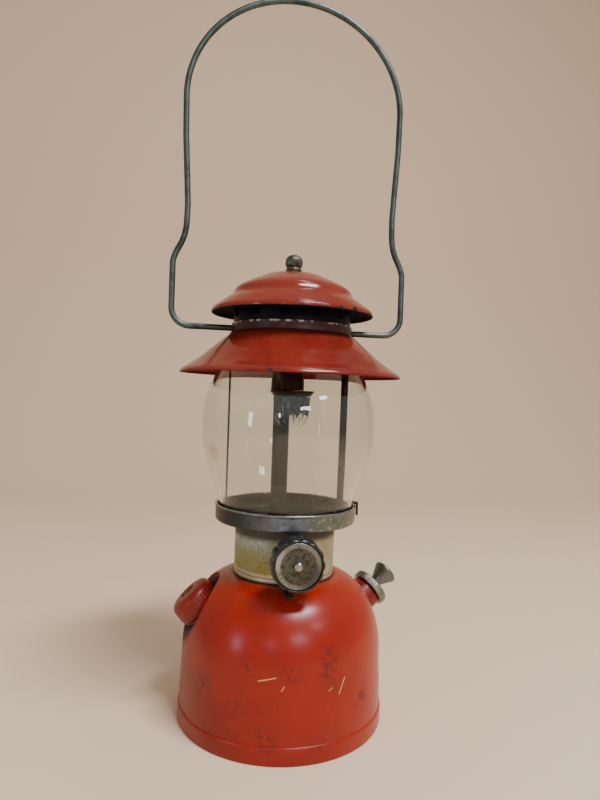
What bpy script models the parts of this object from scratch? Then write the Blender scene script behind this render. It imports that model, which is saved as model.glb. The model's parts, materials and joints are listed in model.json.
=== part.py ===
"""A pressure camping lantern: a round fount with pump, filler and control valve, a burner in an
open frame, a glass globe, a two-tier ventilator and a wire bail.

The origin is the centre of the foot, +Z is up, -Y is the side of the control knob, -X the fuel cap.
Lengths are written in millimetres and become metres through MM. Profiles are (radius, height)
points that run down the outer side and back up the inner side.
"""

import math

import bmesh
import bpy

MM = 0.001
GAP = 0.3
FINE, MEDIUM, COARSE = 32, 16, 12
MERGE = 0.00001
WIRE_SIDES = 2

# Fount
FOOT_R = 68.0
FOUNT_R = 65.8
FOUNT_LOW_R = 67.0
FOUNT_WALL = 0.9
FOUNT_TOP_Z = 95.4
SHOULDER_R = 33.5
SHOULDER_Z = 46.0
SHOULDER_RISE = 47.6
FOUNT_BOTTOM_Z = 1.6

# Filler: its frame starts at the centre of the cap's lower face and points out of the neck
FILLER_AZIMUTH = 180.0
FILLER_RISE = 46.0
FILLER_REACH = 54.2
FILLER_Z = 70.6
RECESS_R = 22.0
RECESS_FLOOR = -2.3
NECK_R = 11.3
NECK_BORE = 8.9
NECK_TOP = 6.2
CAP_CEILING = 8.4

# Pump: its frame starts at the centre of the boss's outer end and points out of the fount
PUMP_AZIMUTH = 20.0
PUMP_RISE = 35.5
PUMP_REACH = 70.2
PUMP_Z = 72.0
BOSS_R = 11.3
BARREL_R = 7.8
BARREL_BORE = 7.0
BARREL_END = -90.0
ROD_R = 2.2
ROD_END = -80.0
STEM_R = 1.1

# Valve, its knob and the cleaning lever
TUBE_X, TUBE_Y = -3.0, 16.0
KNOB_Z = 113.4
KNOB_R = 16.2
KNOB_LOBES = 14
KNOB_LOBE_DEPTH = 0.7
KNOB_BACK = 50.5
KNOB_FRONT = 62.0
SPINDLE_R = 2.2
LEVER_X, LEVER_Z = -3.0, 101.0
LEVER_WIDTH = 5.0
CRANK = 0.7

# Collar and burner plate
COLLAR_R = 33.4
COLLAR_WALL = 0.8
COLLAR_LOW, COLLAR_HIGH = 94.0, 127.3
PLATE_Z = 127.6
PLATE_RIM_R = 47.4
PLATE_RIM_Z = 139.9

# Burner
AIR_TUBE_R = 5.75
AIR_TUBE_TOP = 215.6
ELBOW_R = 8.5
ELBOW_BORE = 6.4
ELBOW_Z = 218.0
BURNER_X, BURNER_Y = 1.0, -5.0
BURNER_TOP = 215.7

# Frame
UPRIGHT_X = 40.3
CROWN_LOW, CROWN_HIGH = 246.6, 248.2
STUD_R = 2.45
STUD_TOP = 304.0

# Globe
GLOBE_LOW, GLOBE_HIGH = 130.45, 248.4
GLOBE_R = 57.9
GLASS = 2.2

# Ventilator
NECK_Z = 259.2
HOOD_NECK_R = 40.4
HOOD_RIM_R = 73.5
SHEET = 0.9
DOME_HOLE = 3.2
RING_R = 39.2
VENT_WINDOWS = 12

# Bail
BAIL_Z = 256.0
BAIL_WIRE_R = 2.0
BAIL_TOP = 479.0
BAIL_HALF = 72.6
BAIL_ARC_Z = 407.0
BAIL_HEAD_R = 3.0
BAIL_OFFSET = -2.2


def clear_scene():
    for obj in list(bpy.data.objects):
        bpy.data.objects.remove(obj, do_unlink=True)


def new_collection(name):
    made = bpy.data.collections.new(name)
    bpy.context.scene.collection.children.link(made)
    return made


def new_material(name, colour, roughness, metallic):
    made = bpy.data.materials.new(name)
    made.use_nodes = True
    shader = made.node_tree.nodes["Principled BSDF"]
    shader.inputs["Base Color"].default_value = (*colour, 1.0)
    shader.inputs["Roughness"].default_value = roughness
    shader.inputs["Metallic"].default_value = metallic
    made.diffuse_color = (*colour, 1.0)
    return made


def red_paint():
    return new_material("red_paint", (0.40, 0.025, 0.012), 0.35, 0.0)


def red_enamel():
    return new_material("red_enamel", (0.33, 0.02, 0.012), 0.18, 0.0)


def nickel():
    return new_material("nickel", (0.62, 0.62, 0.58), 0.28, 1.0)


def brass():
    return new_material("brass", (0.60, 0.44, 0.20), 0.40, 1.0)


def dark_steel():
    return new_material("dark_steel", (0.10, 0.11, 0.10), 0.50, 1.0)


def galvanised():
    return new_material("galvanised", (0.24, 0.28, 0.26), 0.45, 1.0)


def black_plastic():
    return new_material("black_plastic", (0.015, 0.015, 0.017), 0.40, 0.0)


def clear_glass():
    return new_material("clear_glass", (0.92, 0.96, 0.93), 0.03, 0.0)


def leather():
    return new_material("leather", (0.16, 0.08, 0.04), 0.75, 0.0)


def rubber():
    return new_material("rubber", (0.03, 0.03, 0.03), 0.80, 0.0)


def mantle_ash():
    return new_material("mantle_ash", (0.55, 0.58, 0.60), 0.95, 0.0)


def frame_empty(name, place, turn):
    """An empty that holds the pieces on one axis, with its own Z along that axis."""
    made = bpy.data.objects.new(name, None)
    made.location = [value * MM for value in place]
    made.rotation_euler = [math.radians(angle) for angle in turn]
    PARTS.objects.link(made)
    return made


def tilted_frame(name, azimuth, rise, reach, height):
    turned_by = math.radians(azimuth)
    place = (reach * math.cos(turned_by), reach * math.sin(turned_by), height)
    return frame_empty(name, place, (0.0, 90.0 - rise, azimuth))


def add_object(name, data, material, parent, home):
    made = bpy.data.objects.new(name, data)
    home.objects.link(made)
    made.parent = parent
    if material:
        data.materials.append(material)
    if home is CUTTERS:
        made.hide_render = True
        made.display_type = "WIRE"
    return made


def turned(name, profile, material=None, sides=MEDIUM, parent=None, at=(0.0, 0.0), home=None):
    """A solid of revolution about the vertical line at the place given."""
    open_ended = profile[0][0] == 0.0 and profile[-1][0] == 0.0
    mesh = bpy.data.meshes.new(name)
    edges = [(i, i + 1) for i in range(len(profile) - 1)]
    if not open_ended:
        edges.append((len(profile) - 1, 0))
    mesh.from_pydata([(r * MM, 0.0, z * MM) for r, z in profile], edges, [])
    made = add_object(name, mesh, material, parent, home or PARTS)
    made.location = (at[0] * MM, at[1] * MM, 0.0)
    screw = made.modifiers.new("turn", "SCREW")
    screw.steps = sides
    screw.render_steps = sides
    screw.use_merge_vertices = True
    screw.merge_threshold = MERGE
    screw.use_smooth_shade = True
    return made


def rod(radius, low, high):
    """Profile of a plain round bar."""
    return [(0.0, high), (radius, high), (radius, low), (0.0, low)]


def tube(outer, bore, low, high):
    """Profile of a plain tube."""
    return [(bore, high), (outer, high), (outer, low), (bore, low)]


def cutter(name, profile, sides=MEDIUM, parent=None, at=(0.0, 0.0)):
    return turned(name, profile, None, sides, parent, at, CUTTERS)


def boxed(name, low, high, material=None, home=None):
    """A plain block between two corners."""
    mesh = bpy.data.meshes.new(name)
    shape = bmesh.new()
    bmesh.ops.create_cube(shape, size=1.0)
    for vertex in shape.verts:
        for axis in range(3):
            share = vertex.co[axis] + 0.5
            vertex.co[axis] = (low[axis] + share * (high[axis] - low[axis])) * MM
    shape.to_mesh(mesh)
    shape.free()
    return add_object(name, mesh, material, None, home or PARTS)


def prism(name, sides, radius_at, low, high, material=None, parent=None, at=(0.0, 0.0)):
    """A straight-sided solid whose outline's radius is a function of the angle."""
    mesh = bpy.data.meshes.new(name)
    shape = bmesh.new()
    bmesh.ops.create_cone(
        shape, cap_ends=True, segments=sides, radius1=1.0, radius2=1.0, depth=1.0
    )
    for vertex in shape.verts:
        radius = radius_at(math.atan2(vertex.co.y, vertex.co.x)) * MM
        vertex.co.x *= radius
        vertex.co.y *= radius
        vertex.co.z = (high if vertex.co.z > 0.0 else low) * MM
    shape.to_mesh(mesh)
    shape.free()
    made = add_object(name, mesh, material, parent, PARTS)
    made.location = (at[0] * MM, at[1] * MM, 0.0)
    return made


def hex_nut(name, across_flats, low, high, material, parent=None, at=(0.0, 0.0)):
    corner = across_flats / math.sqrt(3.0)
    return prism(name, 6, lambda angle: corner, low, high, material, parent, at)


def as_mesh(curve_object, home):
    """The same object as a mesh with its caps welded, ready for a Boolean."""
    bpy.context.view_layer.update()
    seen = curve_object.evaluated_get(bpy.context.evaluated_depsgraph_get())
    mesh = bpy.data.meshes.new_from_object(seen)
    shape = bmesh.new()
    shape.from_mesh(mesh)
    bmesh.ops.remove_doubles(shape, verts=shape.verts, dist=MERGE)
    bmesh.ops.recalc_face_normals(shape, faces=shape.faces)
    shape.to_mesh(mesh)
    shape.free()
    name = curve_object.name
    place = curve_object.matrix_world.copy()
    bpy.data.objects.remove(curve_object, do_unlink=True)
    made = add_object(name, mesh, None, None, home)
    made.matrix_world = place
    return made


def wire(name, points, radius, material=None, swell=None, parent=None, sides=WIRE_SIDES):
    """A round wire along a line of points, with an optional radius factor at each point."""
    curve = bpy.data.curves.new(name, "CURVE")
    curve.dimensions = "3D"
    curve.bevel_depth = radius * MM
    curve.bevel_resolution = sides
    curve.use_fill_caps = True
    spline = curve.splines.new("POLY")
    spline.points.add(len(points) - 1)
    for index, (point, place) in enumerate(zip(spline.points, points)):
        point.co = (place[0] * MM, place[1] * MM, place[2] * MM, 1.0)
        point.radius = swell[index] if swell else 1.0
    return add_object(name, curve, material, parent, PARTS)


def flat_outline(name, outline, width, turn, place):
    """A flat closed outline given a width, as a mesh."""
    curve = bpy.data.curves.new(name, "CURVE")
    curve.dimensions = "2D"
    curve.fill_mode = "BOTH"
    curve.extrude = width / 2.0 * MM
    spline = curve.splines.new("POLY")
    spline.points.add(len(outline) - 1)
    for point, (across, up) in zip(spline.points, outline):
        point.co = (across * MM, up * MM, 0.0, 1.0)
    spline.use_cyclic_u = True
    made = add_object(name, curve, None, None, PARTS)
    made.rotation_euler = [math.radians(angle) for angle in turn]
    made.location = [value * MM for value in place]
    return as_mesh(made, PARTS)


def boolean(target, tool, operation="DIFFERENCE"):
    modifier = target.modifiers.new(tool.name, "BOOLEAN")
    modifier.operation = operation
    modifier.object = tool
    modifier.solver = "EXACT"


def arc(centre, radii, start, end, count):
    """Points on an ellipse, from one angle to another in degrees."""
    points = []
    for step in range(count + 1):
        angle = math.radians(start + (end - start) * step / count)
        points.append((centre[0] + radii[0] * math.cos(angle), centre[1] + radii[1] * math.sin(angle)))
    return points


def inset(points, thickness):
    """The line that lies one sheet thickness inside an outer profile."""
    moved = []
    for index, (r, z) in enumerate(points):
        before = points[max(index - 1, 0)]
        after = points[min(index + 1, len(points) - 1)]
        along = math.hypot(after[0] - before[0], after[1] - before[1])
        out_r = -(after[1] - before[1]) / along
        out_z = (after[0] - before[0]) / along
        moved.append((r - out_r * thickness, z - out_z * thickness))
    return moved


def sheet_profile(points, thickness):
    """A closed profile of even thickness under an outer line."""
    return points + list(reversed(inset(points, thickness)))


# Fount


def fount_solid_profile(wall, low):
    """The fount's outside, or with a wall the hollow inside it."""
    shoulder = arc(
        (SHOULDER_R, SHOULDER_Z),
        (FOUNT_R - SHOULDER_R - wall, SHOULDER_RISE - wall),
        90.0,
        0.0,
        7,
    )
    return (
        [(0.0, FOUNT_TOP_Z - wall), (16.0, FOUNT_TOP_Z - 0.2 - wall)]
        + shoulder
        + [(FOUNT_LOW_R - 0.1 - wall, 24.0), (FOUNT_LOW_R - wall, low), (0.0, low)]
    )


def make_fount_shell(paint, filler, pump):
    shell = turned("fount_shell", fount_solid_profile(0.0, FOUNT_BOTTOM_Z), paint, FINE)
    hollow = cutter("fount_hollow", fount_solid_profile(FOUNT_WALL, -5.0), FINE)
    recess = cutter("filler_recess", rod(RECESS_R, RECESS_FLOOR, 40.0), FINE, filler)
    recess_inside = cutter(
        "filler_recess_inside",
        rod(RECESS_R + FOUNT_WALL, RECESS_FLOOR - FOUNT_WALL, 45.0),
        FINE,
        filler,
    )
    boolean(hollow, recess_inside)
    boolean(shell, recess)
    boolean(shell, hollow)
    boolean(shell, cutter("filler_hole", rod(NECK_R + 0.4, -10.0, 10.0), MEDIUM, filler))
    boolean(shell, cutter("pump_hole", rod(BOSS_R + 0.4, -30.0, 10.0), MEDIUM, pump))
    boolean(shell, cutter("valve_hole", rod(5.2, 80.0, 110.0), MEDIUM, None, (TUBE_X, TUBE_Y)))


def make_fount_base(paint):
    profile = [
        (0.0, 5.9),
        (58.0, 4.9),
        (62.2, 3.1),
        (64.2, 1.2),
        (67.4, 1.2),
        (67.4, 7.6),
        (FOOT_R, 7.6),
        (FOOT_R, 0.7),
        (67.5, 0.0),
        (63.4, 0.0),
        (61.6, 2.0),
        (57.6, 3.9),
        (0.0, 4.9),
    ]
    turned("fount_base", profile, paint, FINE)


# Filler and fuel cap


def make_filler_neck(paint, filler):
    profile = [
        (NECK_BORE, NECK_TOP),
        (NECK_R, NECK_TOP),
        (NECK_R, -0.4),
        (14.4, -0.4),
        (14.4, -2.0),
        (NECK_R, -2.0),
        (NECK_R, -9.0),
        (NECK_BORE, -9.0),
    ]
    turned("filler_neck", profile, paint, MEDIUM, filler)


def make_fuel_cap(paint, filler):
    profile = [
        (2.3, 12.4),
        (4.9, 12.4),
        (5.1, 13.9),
        (9.8, 13.6),
        (13.1, 12.5),
        (14.8, 10.2),
        (15.5, 2.0),
        (15.3, 0.0),
        (12.2, 0.0),
        (12.1, CAP_CEILING),
        (2.3, CAP_CEILING),
    ]
    turned("fuel_cap", profile, paint, MEDIUM, filler)


def make_fuel_cap_screw(metal, filler):
    profile = [
        (0.0, 14.3),
        (2.6, 14.0),
        (4.4, 13.2),
        (4.4, 12.7),
        (1.5, 12.7),
        (1.5, 2.5),
        (0.0, 2.5),
    ]
    turned("fuel_cap_screw", profile, metal, COARSE, filler)


def make_fuel_cap_gasket(seal, filler):
    turned("fuel_cap_gasket", tube(11.2, 4.0, NECK_TOP + GAP, CAP_CEILING - GAP), seal, MEDIUM, filler)


def make_fuel_cap_insert(metal, filler):
    profile = [(1.9, NECK_TOP), (8.5, NECK_TOP), (8.5, 2.0), (7.0, 0.0), (1.9, 0.0)]
    turned("fuel_cap_insert", profile, metal, MEDIUM, filler)


# Pump


def make_pump_boss(paint, pump):
    turned("pump_boss", tube(BOSS_R, BARREL_R + 0.35, -17.0, -GAP), paint, MEDIUM, pump)


def make_pump_barrel(metal, pump):
    turned("pump_barrel", tube(BARREL_R, BARREL_BORE, BARREL_END, -1.0), metal, MEDIUM, pump)


def make_pump_cap(metal, pump):
    profile = [
        (2.5, 5.2),
        (8.8, 5.2),
        (9.6, 6.0),
        (12.9, 6.0),
        (13.6, 5.3),
        (13.6, 0.7),
        (13.1, 0.0),
        (6.4, 0.0),
        (6.2, -4.0),
        (2.5, -4.0),
    ]
    turned("pump_cap", profile, metal, MEDIUM, pump)


def make_check_valve(metal, pump):
    top = BARREL_END + 4.7
    profile = [
        (1.5, top),
        (6.6, top),
        (6.6, BARREL_END - GAP),
        (BARREL_R, BARREL_END - GAP),
        (BARREL_R, BARREL_END - 3.0),
        (3.5, BARREL_END - 3.5),
        (3.2, BARREL_END - 8.0),
        (1.5, BARREL_END - 8.0),
    ]
    turned("check_valve", profile, metal, MEDIUM, pump)


def make_plunger_rod(metal, pump):
    profile = [
        (0.0, 13.4),
        (ROD_R, 13.4),
        (ROD_R, ROD_END),
        (STEM_R + 0.35, ROD_END),
        (STEM_R + 0.35, 7.0),
        (0.0, 7.0),
    ]
    turned("plunger_rod", profile, metal, COARSE, pump)


def make_plunger_knob(metal, pump):
    profile = [
        (0.0, 21.8),
        (5.4, 21.6),
        (8.3, 20.8),
        (9.2, 19.8),
        (9.0, 18.8),
        (5.8, 13.2),
        (4.1, 9.6),
        (3.6, 6.4),
        (ROD_R + 0.35, 6.4),
        (ROD_R + 0.35, 13.8),
        (0.0, 13.8),
    ]
    turned("plunger_knob", profile, metal, MEDIUM, pump)


def make_air_stem(metal, pump):
    turned("air_stem", rod(STEM_R, -88.0, 5.0), metal, COARSE, pump)


def make_pump_cup(hide, pump):
    profile = [
        (2.6, -71.5),
        (6.2, -71.5),
        (6.6, -72.5),
        (6.6, -79.5),
        (5.6, -79.5),
        (5.6, -73.5),
        (2.6, -73.5),
    ]
    turned("pump_cup", profile, hide, MEDIUM, pump)


def make_cup_washer(metal, pump):
    turned("cup_washer", tube(5.4, 2.6, -71.1, -69.6), metal, MEDIUM, pump)


def make_plunger_spring(metal, pump):
    """A short coil behind the washer."""
    turns, per_turn, mean_radius, start, end = 3.0, 8, 3.6, -68.7, -58.5
    count = int(turns * per_turn)
    points = []
    for step in range(count + 1):
        angle = 2.0 * math.pi * step / per_turn
        height = start + (end - start) * step / count
        points.append((mean_radius * math.cos(angle), mean_radius * math.sin(angle), height))
    wire("plunger_spring", points, 0.45, metal, None, pump, 1)


# Valve, knob and cleaning lever


def make_valve_body(metal, knob_axis, lever_axis):
    profile = [
        (0.0, 121.0),
        (5.4, 121.0),
        (5.4, 118.0),
        (8.0, 118.0),
        (8.0, 98.0),
        (9.0, 98.0),
        (9.0, 95.8),
        (4.8, 95.8),
        (4.8, 88.5),
        (0.0, 88.5),
    ]
    place = (TUBE_X, TUBE_Y)
    body = turned("valve_body", profile, metal, MEDIUM, None, place)
    spindle_boss = cutter("spindle_boss", rod(5.0, -11.3, 27.8), MEDIUM, knob_axis)
    lever_boss = cutter("lever_boss", rod(3.4, -11.7, 27.8), COARSE, lever_axis)
    for boss in (spindle_boss, lever_boss):
        boss.rotation_euler[2] = math.radians(4.0)
        boolean(body, boss, "UNION")
    boolean(body, cutter("spindle_bore", rod(SPINDLE_R + 0.4, -15.3, 40.0), MEDIUM, knob_axis))
    lever_bore = cutter("lever_bore", rod(1.7, -19.3, 40.0), COARSE, lever_axis)
    fuel_way = cutter("fuel_way", rod(1.5, 80.0, 130.0), COARSE, None, place)
    for bore in (lever_bore, fuel_way):
        bore.rotation_euler[2] = math.radians(7.0)
        boolean(body, bore)


def make_fuel_tube(metal):
    turned("fuel_tube", tube(3.0, 1.6, 8.5, 88.0), metal, COARSE, None, (TUBE_X, TUBE_Y))


def make_packing_nut(metal, knob_axis):
    nut = hex_nut("packing_nut", 11.0, 28.2, 38.0, metal, knob_axis)
    boolean(nut, cutter("packing_bore", rod(SPINDLE_R + 0.4, 20.0, 45.0), MEDIUM, knob_axis))


def make_valve_stem(metal, knob_axis):
    profile = [(0.0, 57.6), (SPINDLE_R, 57.6), (SPINDLE_R, -10.0), (0.8, -14.0), (0.0, -14.0)]
    turned("valve_stem", profile, metal, COARSE, knob_axis)


def knob_radius(angle):
    return KNOB_R - KNOB_LOBE_DEPTH * (0.5 - 0.5 * math.cos(KNOB_LOBES * angle))


def make_control_knob(plastic, knob_axis):
    sides = KNOB_LOBES * 6
    knob = prism("control_knob", sides, knob_radius, KNOB_BACK, KNOB_FRONT, plastic, knob_axis)
    hub = cutter("knob_hub", rod(6.0, 41.0, KNOB_BACK + 1.5), MEDIUM, knob_axis)
    boolean(knob, hub, "UNION")
    boolean(knob, cutter("knob_bore", rod(SPINDLE_R + 0.4, 30.0, 70.0), MEDIUM, knob_axis))
    boolean(knob, cutter("knob_recess", rod(14.1, 60.7, 70.0), FINE, knob_axis))


def make_knob_dial(metal, knob_axis):
    turned("knob_dial", tube(13.8, 2.3, 61.0, 61.7), metal, FINE, knob_axis)


def make_knob_screw(metal, knob_axis):
    profile = [
        (0.0, 64.2),
        (2.0, 63.9),
        (3.6, 62.7),
        (3.6, 62.0),
        (1.6, 62.0),
        (1.6, 58.0),
        (0.0, 58.0),
    ]
    turned("knob_screw", profile, metal, COARSE, knob_axis)


def make_cleaner_shaft(metal, lever_axis):
    shaft = turned("cleaner_shaft", rod(1.3, -13.8, 37.4), metal, COARSE, lever_axis)
    pin = cutter("crank_pin", rod(0.5, -17.4, -13.0), COARSE, lever_axis, (CRANK, 0.0))
    boolean(shaft, pin, "UNION")


def make_cleaner_lever(metal, lever_axis):
    """A bent strip: up on the shaft, then forward over the shoulder."""
    outline = [
        (35.0, 3.5),
        (35.0, -5.6),
        (49.4, -10.6),
        (49.8, -9.4),
        (36.2, -4.8),
        (36.2, 3.5),
    ]
    lever = flat_outline(
        "cleaner_lever", outline, LEVER_WIDTH, (90.0, 0.0, -90.0), (LEVER_X, 0.0, LEVER_Z)
    )
    lever.data.materials.append(metal)
    boolean(lever, cutter("lever_eye", rod(1.65, 30.0, 45.0), COARSE, lever_axis))


def make_cleaning_rod(metal):
    foot = LEVER_Z + 1.4
    profile = [
        (0.0, 195.0),
        (0.55, 195.0),
        (0.55, foot + 1.2),
        (1.15, foot + 1.2),
        (1.15, foot),
        (0.0, foot),
    ]
    turned("cleaning_rod", profile, metal, 12, None, (TUBE_X, TUBE_Y))


# Collar and burner plate


def make_collar(metal, knob_axis, lever_axis):
    wall = tube(COLLAR_R, COLLAR_R - COLLAR_WALL, COLLAR_LOW, COLLAR_HIGH)
    collar = turned("collar", wall, metal, FINE)
    boolean(collar, cutter("knob_hole", rod(7.2, 20.0, 45.0), MEDIUM, knob_axis))
    boolean(collar, cutter("lever_hole", rod(2.2, 20.0, 45.0), COARSE, lever_axis))


def make_burner_plate(metal):
    profile = [
        (0.0, PLATE_Z + SHEET),
        (35.0, PLATE_Z + SHEET),
        (45.5, 130.3),
        (46.1, 131.2),
        (PLATE_RIM_R - SHEET, PLATE_RIM_Z),
        (PLATE_RIM_R, PLATE_RIM_Z),
        (47.0, 130.0),
        (46.3, 129.3),
        (35.0, PLATE_Z),
        (0.0, PLATE_Z),
    ]
    plate = turned("burner_plate", profile, metal, FINE)
    boolean(plate, cutter("tube_hole", rod(4.2, 120.0, 135.0), MEDIUM, None, (TUBE_X, TUBE_Y)))


def make_rim_clip(metal):
    clip = boxed("rim_clip", (47.8, -2.0, 133.0), (49.0, 2.0, 142.0), metal)
    lip = boxed("clip_lip", (46.0, -2.0, 140.3), (48.5, 2.0, 142.0), None, CUTTERS)
    for piece in (clip, lip):
        piece.rotation_euler[2] = math.radians(-8.0)
    boolean(clip, lip, "UNION")


# Burner


def make_generator_nut(metal):
    place = (TUBE_X, TUBE_Y)
    nut = hex_nut("generator_nut", 14.0, 121.4, 127.2, metal, None, place)
    boolean(nut, cutter("nut_seat", rod(5.0, 115.0, 124.6), MEDIUM, None, place))
    boolean(nut, cutter("nut_bore", rod(3.5, 115.0, 135.0), MEDIUM, None, place))


def make_generator(metal):
    profile = [
        (1.0, 196.0),
        (3.1, 196.0),
        (3.1, 124.2),
        (4.6, 124.2),
        (4.6, 121.4),
        (1.0, 121.4),
    ]
    turned("generator", profile, metal, COARSE, None, (TUBE_X, TUBE_Y))


def make_generator_jet(metal):
    profile = [
        (0.5, 203.0),
        (1.0, 203.0),
        (2.4, 200.0),
        (2.6, 196.4),
        (0.5, 196.4),
    ]
    turned("generator_jet", profile, metal, COARSE, None, (TUBE_X, TUBE_Y))


def make_air_tube(metal):
    profile = tube(AIR_TUBE_R, 4.6, 128.9, AIR_TUBE_TOP)
    turned("air_tube", profile, metal, MEDIUM, None, (TUBE_X, TUBE_Y))


def elbow_route(start_z, end_z):
    """Up from the air tube, over in a half circle and down to the burner."""
    half_x, half_y = (BURNER_X - TUBE_X) / 2.0, (BURNER_Y - TUBE_Y) / 2.0
    rise = math.hypot(half_x, half_y)
    points = [(TUBE_X, TUBE_Y, start_z)]
    steps = 10
    for step in range(steps + 1):
        angle = math.pi * step / steps
        across = 1.0 - math.cos(angle)
        points.append(
            (
                TUBE_X + half_x * across,
                TUBE_Y + half_y * across,
                ELBOW_Z + rise * math.sin(angle),
            )
        )
    points.append((BURNER_X, BURNER_Y, end_z))
    return points


def make_mixing_elbow(metal):
    outside = wire("mixing_elbow", elbow_route(AIR_TUBE_TOP + 0.4, BURNER_TOP + GAP), ELBOW_R)
    elbow = as_mesh(outside, PARTS)
    elbow.data.materials.append(metal)
    inside = as_mesh(wire("elbow_bore", elbow_route(200.0, 200.0), ELBOW_BORE), CUTTERS)
    boolean(elbow, inside)


def make_burner_cap(metal):
    profile = [
        (7.2, BURNER_TOP),
        (14.5, BURNER_TOP),
        (14.5, 212.4),
        (10.5, 212.4),
        (10.5, 206.0),
        (7.2, 206.0),
    ]
    turned("burner_cap", profile, metal, MEDIUM, None, (BURNER_X, BURNER_Y))


def make_burner_screen(metal):
    profile = [
        (0.0, 207.6),
        (5.0, 207.4),
        (6.8, 207.0),
        (6.8, 206.3),
        (5.0, 206.5),
        (0.0, 206.7),
    ]
    turned("burner_screen", profile, metal, MEDIUM, None, (BURNER_X, BURNER_Y))


def make_mantle(ash):
    profile = [
        (11.2, 211.8),
        (12.8, 211.8),
        (12.8, 208.0),
        (11.9, 200.0),
        (11.0, 192.5),
        (10.0, 192.5),
        (10.8, 200.0),
        (11.2, 208.0),
    ]
    turned("mantle", profile, ash, MEDIUM, None, (BURNER_X, BURNER_Y))


# Frame


def make_upright(name, x, lean, twist, metal):
    """A flat strip between the burner plate and the crown."""
    low, high = 130.1, CROWN_LOW - GAP
    half = (high - low) / 2.0
    strip = boxed(name, (-0.6, -2.5, -half), (0.6, 2.5, half), metal)
    strip.location = (x * MM, 0.0, (low + half) * MM)
    strip.rotation_euler = (0.0, math.radians(lean), math.radians(twist))


def make_crown(metal):
    crown = boxed("crown", (-40.9, -4.0, CROWN_LOW), (40.9, 4.0, CROWN_HIGH), metal)
    boolean(crown, cutter("crown_hole", rod(STUD_R + 0.4, 240.0, 255.0)))


def make_top_stud(metal):
    head_top = CROWN_LOW - GAP
    profile = [
        (0.0, STUD_TOP),
        (2.0, STUD_TOP),
        (STUD_R, STUD_TOP - 0.6),
        (STUD_R, head_top),
        (4.5, head_top),
        (4.5, head_top - 2.7),
        (0.0, head_top - 2.7),
    ]
    turned("top_stud", profile, metal, COARSE)


# Globe and ventilator


def make_globe(glass):
    outside = [
        (43.8, GLOBE_HIGH),
        (44.0, 243.0),
        (45.4, 236.5),
        (48.2, 229.5),
        (51.4, 222.0),
        (54.9, 213.2),
        (57.1, 203.6),
        (GLOBE_R, 192.6),
        (56.9, 180.4),
        (54.1, 168.6),
        (50.0, 157.3),
        (46.8, 148.0),
        (45.0, 140.0),
        (44.3, GLOBE_LOW),
    ]
    inside = [(r, z) for r, z in reversed(inset(outside, GLASS))]
    inside[0] = (inside[0][0], GLOBE_LOW)
    inside[-1] = (inside[-1][0], GLOBE_HIGH)
    turned("globe", outside + inside, glass, FINE)


def make_ventilator_skirt(enamel):
    outside = [
        (HOOD_NECK_R, NECK_Z),
        (HOOD_NECK_R, 254.4),
        (41.4, 252.4),
        (47.8, 247.1),
        (54.5, 241.4),
        (59.5, 237.0),
        (66.5, 231.9),
        (71.2, 229.0),
        (73.2, 227.4),
        (HOOD_RIM_R, 226.3),
        (73.2, 225.2),
    ]
    skirt = turned("ventilator_skirt", sheet_profile(outside, SHEET), enamel, FINE)
    pivot = frame_empty("bail_axis", (0.0, 0.0, BAIL_Z), (0.0, 90.0, 0.0))
    boolean(skirt, cutter("bail_holes", rod(BAIL_WIRE_R + 0.35, -50.0, 50.0), COARSE, pivot))
    return pivot


def make_ventilator_dome(enamel):
    outside = [
        (DOME_HOLE, 294.9),
        (8.0, 294.6),
        (17.9, 292.2),
        (27.4, 288.1),
        (35.5, 284.2),
        (38.6, 281.6),
        (40.0, 278.9),
        (41.8, 276.9),
        (47.4, 273.3),
        (53.0, 269.0),
        (54.3, 267.4),
        (54.0, 265.6),
    ]
    turned("ventilator_dome", sheet_profile(outside, SHEET), enamel, FINE)


def make_ventilator_ring(metal, pivot):
    """The vented ring between skirt and dome, with windows all round and holes for the bail."""
    ring = turned("ventilator_ring", tube(RING_R, RING_R - SHEET, 253.0, 277.4), metal, FINE)
    for index in range(VENT_WINDOWS // 2):
        window = boxed(
            "vent_window_%d" % index, (-45.0, -3.4, 263.0), (45.0, 3.4, 274.0), None, CUTTERS
        )
        window.rotation_euler[2] = math.pi * (index + 0.5) * 2.0 / VENT_WINDOWS
        boolean(ring, window)
    boolean(ring, cutter("ring_holes", rod(BAIL_WIRE_R + 0.45, -50.0, 50.0), COARSE, pivot))


def make_ventilator_bridge(metal):
    bridge = boxed("ventilator_bridge", (-37.4, -4.0, 277.9), (37.4, 4.0, 279.1), metal)
    boolean(bridge, cutter("bridge_hole", rod(DOME_HOLE + 0.2, 270.0, 285.0)))


# Bail and nut


def bail_half():
    """One side of the bail from the neck to the top, as (x, z) points."""
    bend, outer_x = 12.0, 78.0
    route = [(outer_x - bend, BAIL_Z)]
    route += arc((outer_x - bend, BAIL_Z + bend), (bend, bend), -70.0, 0.0, 4)
    route += [(outer_x, 297.0), (76.6, 304.0), (71.0, 314.0), (69.4, 321.0), (69.6, 330.0)]
    route += arc((0.0, BAIL_ARC_Z), (BAIL_HALF, BAIL_TOP - BAIL_WIRE_R - BAIL_ARC_Z), 0.0, 84.0, 9)
    return route


def make_bail(metal):
    """The bail sits a little to one side in its holes."""
    half = bail_half()
    ends = [(36.4, 0.0, BAIL_Z), (37.4, 0.0, BAIL_Z), (37.8, 0.0, BAIL_Z)]
    points = [(-x, y, z) for x, y, z in ends]
    points += [(BAIL_OFFSET - x, 0.0, z) for x, z in half]
    points.append((BAIL_OFFSET, 0.0, BAIL_TOP - BAIL_WIRE_R))
    points += [(BAIL_OFFSET + x, 0.0, z) for x, z in reversed(half)]
    points += reversed(ends)
    head = BAIL_HEAD_R / BAIL_WIRE_R
    swell = [head, head] + [1.0] * (len(points) - 4) + [head, head]
    wire("bail", points, BAIL_WIRE_R, metal, swell)


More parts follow.
